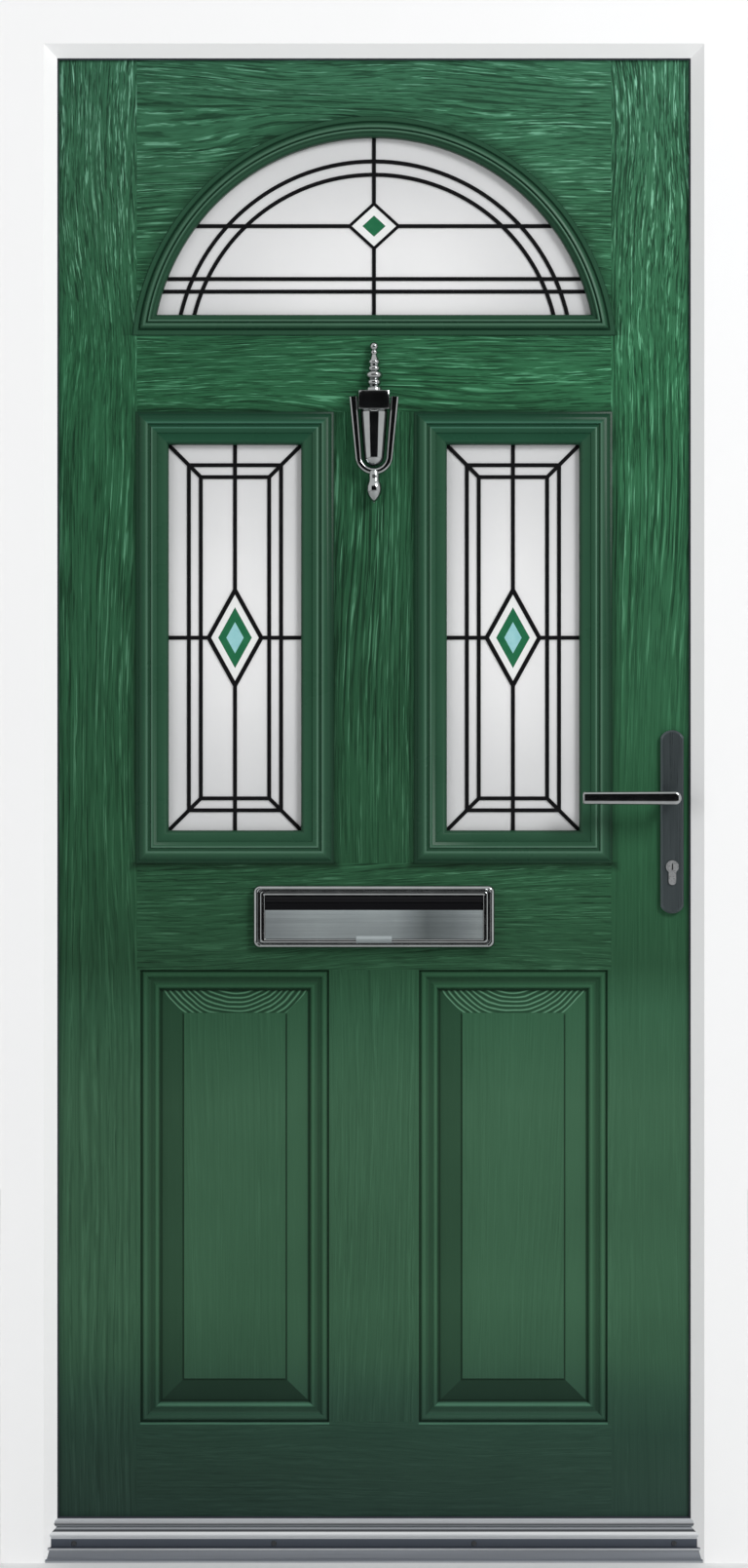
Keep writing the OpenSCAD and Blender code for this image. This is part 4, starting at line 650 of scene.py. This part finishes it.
shade_band_z, flap_half_w, finger_half_w = 0.8731, 0.146, 0.024
satin_steel, tree, shader, place = finish("satin_steel", Specular_IOR_Level=0.1)
split = add(tree, "ShaderNodeSeparateXYZ", {0: place}).outputs
aside, up = split[0], split[2]
# A black band of painted shade along the top of the flap, over its roll
shade_band = calc(tree, "GREATER_THAN", up, shade_band_z)
streak = use(tree, brushing, Place=place, Stretch=(4.0, 700.0, 1500.0), From=0.30, To=0.46)
sheen = use(tree, clouding, Place=place, Size=7.0, From=0.0, To=1.0)
brushed = blend_colours(tree, streak["Line"], (0.40, 0.41, 0.43), (0.56, 0.57, 0.59))
# Painted reflection: pale and dark stripes across the flap, tinted by the green leaf
mirrored = steps(tree, calc(tree, "ADD", product(tree, aside, 3.4), 0.5), (0.02, (0.56, 0.61, 0.60)),
    (0.25, (0.74, 0.81, 0.79)), (0.60, (0.72, 0.79, 0.77)), (0.74, (0.33, 0.37, 0.36)), (0.86, (0.42, 0.47, 0.46)),
    (0.97, (0.66, 0.72, 0.70)))
clouded = times(tree, mirrored, blend_colours(tree, sheen["Value"], (0.78, 0.79, 0.80), (1.0, 1.0, 1.0)))
dulled = either(tree, shade_band, streak["Value"], 0.25)
coat(tree, shader, shade_band, times(tree, brushed, clouded), (0.006, 0.006, 0.007), dulled)
tree.links.new(either(tree, shade_band, 0.6, 0.0), shader.inputs["Metallic"])
bump(tree, shader, streak["Line"], 0.00002)

flap_section = np.concatenate([[[12.6, 834.1], [13.0, 834.5], [13.0, 871.8], [12.6, 872.6], [11.6, 873.0],
    [9.9, 873.2], [9.5, 874.5], [9.5, 882.0]], member((8.0, 887.0), 5.0, -66, 246, 21),
    [[7.6, 880.0], [8.0, 875.0], [10.0, 872.0], [10.0, 834.1]]])
finger_section = np.array([[12.2, 838.6], [13.2, 838.0], [14.8, 834.8], [15.4, 832.0], [15.4, 829.7], [15.0, 829.1],
    [14.3, 829.1], [13.8, 829.6], [13.8, 833.4], [12.2, 834.2]])
rim_shell = surround()
flap_shells = [drawn(flap_section, flap_half_w), drawn(finger_section, finger_half_w)]
make_piece("letterplate_surround_out", bright_chrome, "leaf", "bright_chrome", ["letterplate_outer_frame"], rim_shell)
make_piece("letterplate_surround_in", bright_chrome, "leaf", "bright_chrome", ["letterplate_inner_frame"],
    other_face(rim_shell))
make_piece("letter_flap_out", satin_steel, "outer_flap", "satin_steel", ["outer_flap"], *flap_shells)
make_piece("letter_flap_in", satin_steel, "inner_flap", "satin_steel", ["inner_flap"], *map(other_face, flap_shells))

sleeve, tree, shader, place = finish("sleeve_black", IOR=1.5)
tone = use(tree, clouding, Place=place, Size=80.0, From=0.5, To=0.7)
coat(tree, shader, tone["Mask"], (0.012, 0.012, 0.013), (0.03, 0.03, 0.032), tone["Value"])
dress(sleeve, "letterplate_sleeve")


# Handle set: a long backplate on each face, joined by two bolts, with a lever on a square spindle.
# Plates in dark satin grey metal; levers forged with a flat front, then polished.
# Sizes of the lever are in millimetres.

spindle_x, spindle_z, lever_y = 400.0, 1023.0, -65.0
grey_steel, tree, shader, place = finish("grey_steel", Metallic=0.8)
streak = use(tree, brushing, Place=place, Stretch=(900.0, 900.0, 10.0), From=0.26, To=0.38)
coat(tree, shader, streak["Line"], (0.066, 0.084, 0.090), (0.108, 0.130, 0.136), streak["Value"])
bump(tree, shader, streak["Line"], 0.00002)
dress(grey_steel, "outer_backplate", "inner_backplate")


def squared_ring(half_y, half_z, power, count=48):
    """Ring of points on a squared oval: the higher its power, the flatter its sides."""
    turn = np.linspace(0, 2 * np.pi, count, endpoint=False)
    y = np.sign(np.cos(turn)) * np.abs(np.cos(turn)) ** (2 / power)
    z = np.sign(np.sin(turn)) * np.abs(np.sin(turn)) ** (2 / power)
    return half_y[:, None] * y, half_z[:, None] * z


def lever_bar():
    """Squared oval carried along X from the tip's small round corners to a heel that closes in a half circle."""
    tip = np.radians(np.linspace(0, 90, 7))
    heel = np.radians(np.linspace(0, 90, 13))
    tip_x, tip_round, thick, heel_round, rows = 278.0, 3.0, 6.0, 9.0, 8
    x = np.concatenate([[tip_x], tip_x + tip_round - tip_round * np.cos(tip), np.linspace(290.0, 395.0, rows),
        spindle_x + heel_round * np.sin(heel)])
    half_z = np.concatenate([[0.0], 5.4 + tip_round * np.sin(tip), np.linspace(8.45, 8.95, rows),
        heel_round * np.cos(heel)])
    half_y = np.concatenate([[0.0], 3.6 + 2.4 * np.sin(tip), np.full(rows, thick), thick * np.sqrt(np.cos(heel))])
    ring_y, ring_z = squared_ring(half_y, half_z, 4.2)
    grid = np.stack([np.broadcast_to(x[:, None], ring_y.shape), lever_y + ring_y, spindle_z + ring_z], axis=-1)
    return skin_over(grid / 1000, along=False)


def turned_out(profile, x, z, count=48):
    """Profile of points (radius, depth) turned about a line that points out of the leaf."""
    turn = np.linspace(0, 2 * np.pi, count, endpoint=False)
    radius, depth = profile.T[:, :, None]
    depth = np.broadcast_to(depth, (len(profile), count))
    grid = np.stack([x + radius * np.cos(turn), depth, z + radius * np.sin(turn)], axis=-1)
    return skin_over(grid / 1000, along=False)


neck_profile = np.array([[0, -13.2], [8.5, -13.2], [8.5, -24.0], [8.2, -27.0], [7.6, -31.0], [7.4, -52.0],
    [7.4, -62.0], [0, -62.0]])
lever_shells = [lever_bar(), turned_out(neck_profile, spindle_x, spindle_z)]
make_piece("lever_out", bright_chrome, "lever", "bright_chrome", ["outer_lever"], *lever_shells)
make_piece("lever_in", bright_chrome, "lever", "bright_chrome", ["inner_lever"], *map(other_face, lever_shells))


# Knocker: an urn with a beaded finial, bolted to the muntin, and a bail that swings on a pin through the urn's cap.
# Cast, polished and plated; the urn is flat at the back, with a squared cap and a round body that fills the bail.
# Sizes are in millimetres; profiles hold a radius and a height above the pin.

pivot_y, pivot_z = -30.0, 1555.0
urn_y, stud_z, tail_drop = -21.0, 1437.0, 95.0
sides, cap_power = 64, 14
finial = np.concatenate([[[0, 79]], member((0, 73.3), 5.8, 80, -55), member((1, 65.3), 3.8, 45, -50),
    [[4, 61], [6.4, 56.5]], member((4.5, 52.5), 3.8, 40, -60), member((4, 43.8), 4.4, 60, -60),
    member((6.5, 35), 5.4, 60, -60), member((5, 25.3), 4.6, 60, -60), [[8, 20.5], [11, 17.5], [11.5, 14.5]]])
cap = np.concatenate([[[15, 13]], member((20.5, 12.2), 0.7, 88, 0, 4), member((20.5, -11.3), 0.7, 0, -80, 4),
    [[18.9, -12.6]]])
foot = np.concatenate([[[19.2, -13.4], [20, -15], [19.1, -28], [17.6, -48], [16, -68]],
    member((0, -74), 15.4, 0, -85, 15), [[0, -89.4]]])
turn = np.radians(np.arange(sides) * 360 / sides)
squared = (np.abs(np.cos(turn)) ** cap_power + np.abs(np.sin(turn)) ** cap_power) ** (-1 / cap_power)
plans = np.concatenate([np.ones((len(finial), sides)), np.tile(squared, (len(cap), 1)), np.ones((len(foot), sides))])
radius, rise = np.concatenate([finial, cap, foot]).T[:, :, None]
urn_depth = np.minimum(urn_y + radius * plans * np.sin(turn), 1000 * leaf_face)
urn_grid = np.stack([radius * plans * np.cos(turn), urn_depth, np.broadcast_to(pivot_z + rise, plans.shape)], axis=-1)
stud_profile = np.array([[0, -13.0], [6.0, -13.0], [6.0, -17.4], [4.6, -18.9], [0, -18.9]])
make_piece("knocker_urn", bright_chrome, "leaf", "bright_chrome", ["knocker_plate"],
    skin_over(urn_grid / 1000, along=False), turned_out(stud_profile, 0.0, stud_z), crisp=26.0)


def bail():
    """Squared oval carried down one arm, round the bend and up the other arm: wide at the eyes, slim in the bend."""
    eye_x, eye_rise, bend_radius, bend_drop, slim = 28.0, 5.0, 21.0, 74.0, 4.4
    run = np.linspace(0, 1, 22)
    arm = np.stack([eye_x - (eye_x - bend_radius) * run, eye_rise - (eye_rise + bend_drop) * run], axis=1)
    bend = np.radians(np.linspace(0, -180, 35))
    curve = np.stack([bend_radius * np.cos(bend), -bend_drop + bend_radius * np.sin(bend)], axis=1)
    path = np.concatenate([arm[:-1], curve, (arm * [-1, 1])[::-1][1:]])
    ahead = np.gradient(path, axis=0)
    ahead /= np.linalg.norm(ahead, axis=1, keepdims=True)
    sideways = np.stack([-ahead[:, 1], ahead[:, 0]], axis=1)
    wide_arm, deep_arm = 5.6 - 1.1 * run[:-1], 5.2 - 0.8 * run[:-1]
    wide, deep = [np.concatenate([half, np.full(len(bend), slim), half[::-1]]) for half in (wide_arm, deep_arm)]
    closing = np.array([0.0, 0.86])  # two rows that close the rounded ends of the arms
    wide, deep = [np.concatenate([half[0] * closing, half, half[-1] * closing[::-1]]) for half in (wide, deep)]
    path, sideways = [np.concatenate([row[[0, 0]], row, row[[-1, -1]]]) for row in (path, sideways)]
    path[[0, 1, -2, -1], 1] += 0.7
    ring_deep, ring_wide = squared_ring(deep, wide, 2.8, 40)
    grid = np.stack([path[:, :1] + ring_wide * sideways[:, :1], pivot_y + ring_deep,
        pivot_z + path[:, 1:] + ring_wide * sideways[:, 1:]], axis=-1)
    return skin_over(grid / 1000, along=False)


tail_profile = np.concatenate([[[0, 4.0], [6.2, 0.8], [7.6, -4.5], [7.8, -6.0], [7.2, -7.5], [7.4, -9.0]],
    member((-10.7, -23.0), 21.4, 28, -58, 15), [[0, -43.0]]])
tail_radius, tail_rise = tail_profile.T[:, :, None]
tail_grid = np.stack([tail_radius * np.cos(turn), pivot_y + tail_radius * np.sin(turn),
    np.broadcast_to(pivot_z - tail_drop + tail_rise, (len(tail_profile), sides))], axis=-1)
make_piece("knocker_bail", bright_chrome, "knocker", "bright_chrome", ["knocker_ring"], bail(),
    skin_over(tail_grid / 1000, along=False))


# Lock: a cylinder, a case with a latch and a deadbolt, and a rail that drives a hook at each end.
# Nickel-plated cylinder, plain bright steel for the rest, drawn along its length.

nickel, tree, shader, place = finish("nickel", Metallic=0.5)
smudge = use(tree, clouding, Place=place, Size=160.0, From=0.22, To=0.36)
coat(tree, shader, smudge["Mask"], (0.26, 0.27, 0.275), (0.44, 0.45, 0.455), smudge["Value"])
dress(nickel, "cylinder_body", "cylinder_plug", "thumbturn")

lock_steel, tree, shader, place = finish("lock_steel", Metallic=1.0)
streak = use(tree, brushing, Place=place, Stretch=(700.0, 700.0, 8.0), From=0.25, To=0.42)
coat(tree, shader, streak["Line"], (0.46, 0.46, 0.47), (0.62, 0.62, 0.63), streak["Value"])
dress(lock_steel, "lock_faceplate", "lock_case", "hook_cases", "through_bolts", "spindle", "latch_bolt", "deadbolt",
    "hook_upper", "hook_lower", "drive_rail", "lock_keeps")


# Studio: a pale floor, a soft box high on the right, a fill on the left, a lamp behind for the glass and a dark card.
# The card stands behind the camera, so that polished metal has something dark to mirror; the camera looks straight on.


def sheet(name, material, *corners):
    """Flat four-cornered sheet."""
    mesh = bpy.data.meshes.new(name)
    mesh.from_pydata(corners, [], [range(4)])
    mesh.materials.append(material)
    return put(name, mesh)


floor_paint, tree, shader, place = finish("floor_paint")
tone = use(tree, clouding, Place=place, Size=2.0, From=0.6, To=0.8)
coat(tree, shader, tone["Mask"], (0.86, 0.86, 0.865), (0.90, 0.90, 0.905), tone["Value"])
floor = sheet("floor", floor_paint, (-6, -9, 0), (6, -9, 0), (6, 5, 0), (-6, 5, 0))

card_cloth, tree, shader, place = finish("card_cloth", Roughness=0.9, Specular_IOR_Level=0.1)
weave = use(tree, clouding, Place=place, Size=3.0, From=0.0, To=1.0)
coat(tree, shader, weave["Value"], (0.010, 0.010, 0.011), (0.022, 0.022, 0.024))
card = sheet("dark_card", card_cloth, (-5.5, -7.5, 0.2), (-5.5, -7.5, 4.6), (5.5, -7.5, 4.6), (5.5, -7.5, 0.2))
card.visible_camera = False
card.visible_diffuse = False
card.visible_shadow = False
card.visible_transmission = False

# The backdrop is nearly white where it is seen or mirrored, but lights the door less
sky_light, sky_seen = 0.34, 0.95
world = bpy.context.scene.world or bpy.data.worlds.new("studio")
bpy.context.scene.world = world
world.use_nodes = True
sky = world.node_tree
background = sky.nodes["Background"]
seen = add(sky, "ShaderNodeLightPath")
plain = calc(sky, "MAXIMUM", seen.outputs["Is Camera Ray"], seen.outputs["Is Transmission Ray"])
plain = calc(sky, "MAXIMUM", plain, seen.outputs["Is Glossy Ray"])
background.inputs["Color"].default_value = (1.0, 1.0, 1.0, 1)
sky.links.new(either(sky, plain, sky_light, sky_seen), background.inputs["Strength"])

for name, at, aim, wide, tall, watts in (
        ("key", (3.5, -4.4, 4.3), (0.0, 0.0, 1.2), 1.8, 2.2, 236.0),
        ("fill", (-3.2, -3.4, 1.6), (0.0, 0.0, 1.0), 2.0, 2.6, 36.0),
        ("back", (0.5, 3.4, 2.6), (0.0, 0.0, 1.0), 2.4, 2.4, 75.0)):
    lamp = bpy.data.lights.new(name, "AREA")
    lamp.shape = "RECTANGLE"
    lamp.size = wide
    lamp.size_y = tall
    lamp.energy = watts
    box = put(name, lamp)
    box.location = at
    box.visible_glossy = name == "key"
    box.rotation_euler = (Vector(aim) - Vector(at)).to_track_quat("-Z", "Y").to_euler()

# The picture is seen_h metres high in the plane of the jambs' faces, face_y before the frame's middle
camera_y, face_y, eye_z, seen_h, sensor_h = -5.5, -0.035, 1.0418, 2.0966, 36.0
camera = bpy.data.cameras.new("camera")
camera.sensor_fit = "VERTICAL"
camera.sensor_height = sensor_h
camera.lens = sensor_h * (face_y - camera_y) / seen_h
view = put("camera", camera)
view.location = (0.0, camera_y, eye_z)
view.rotation_euler = (math.pi / 2, 0.0, 0.0)
bpy.context.scene.camera = view
bpy.context.scene.view_settings.view_transform = "Standard"
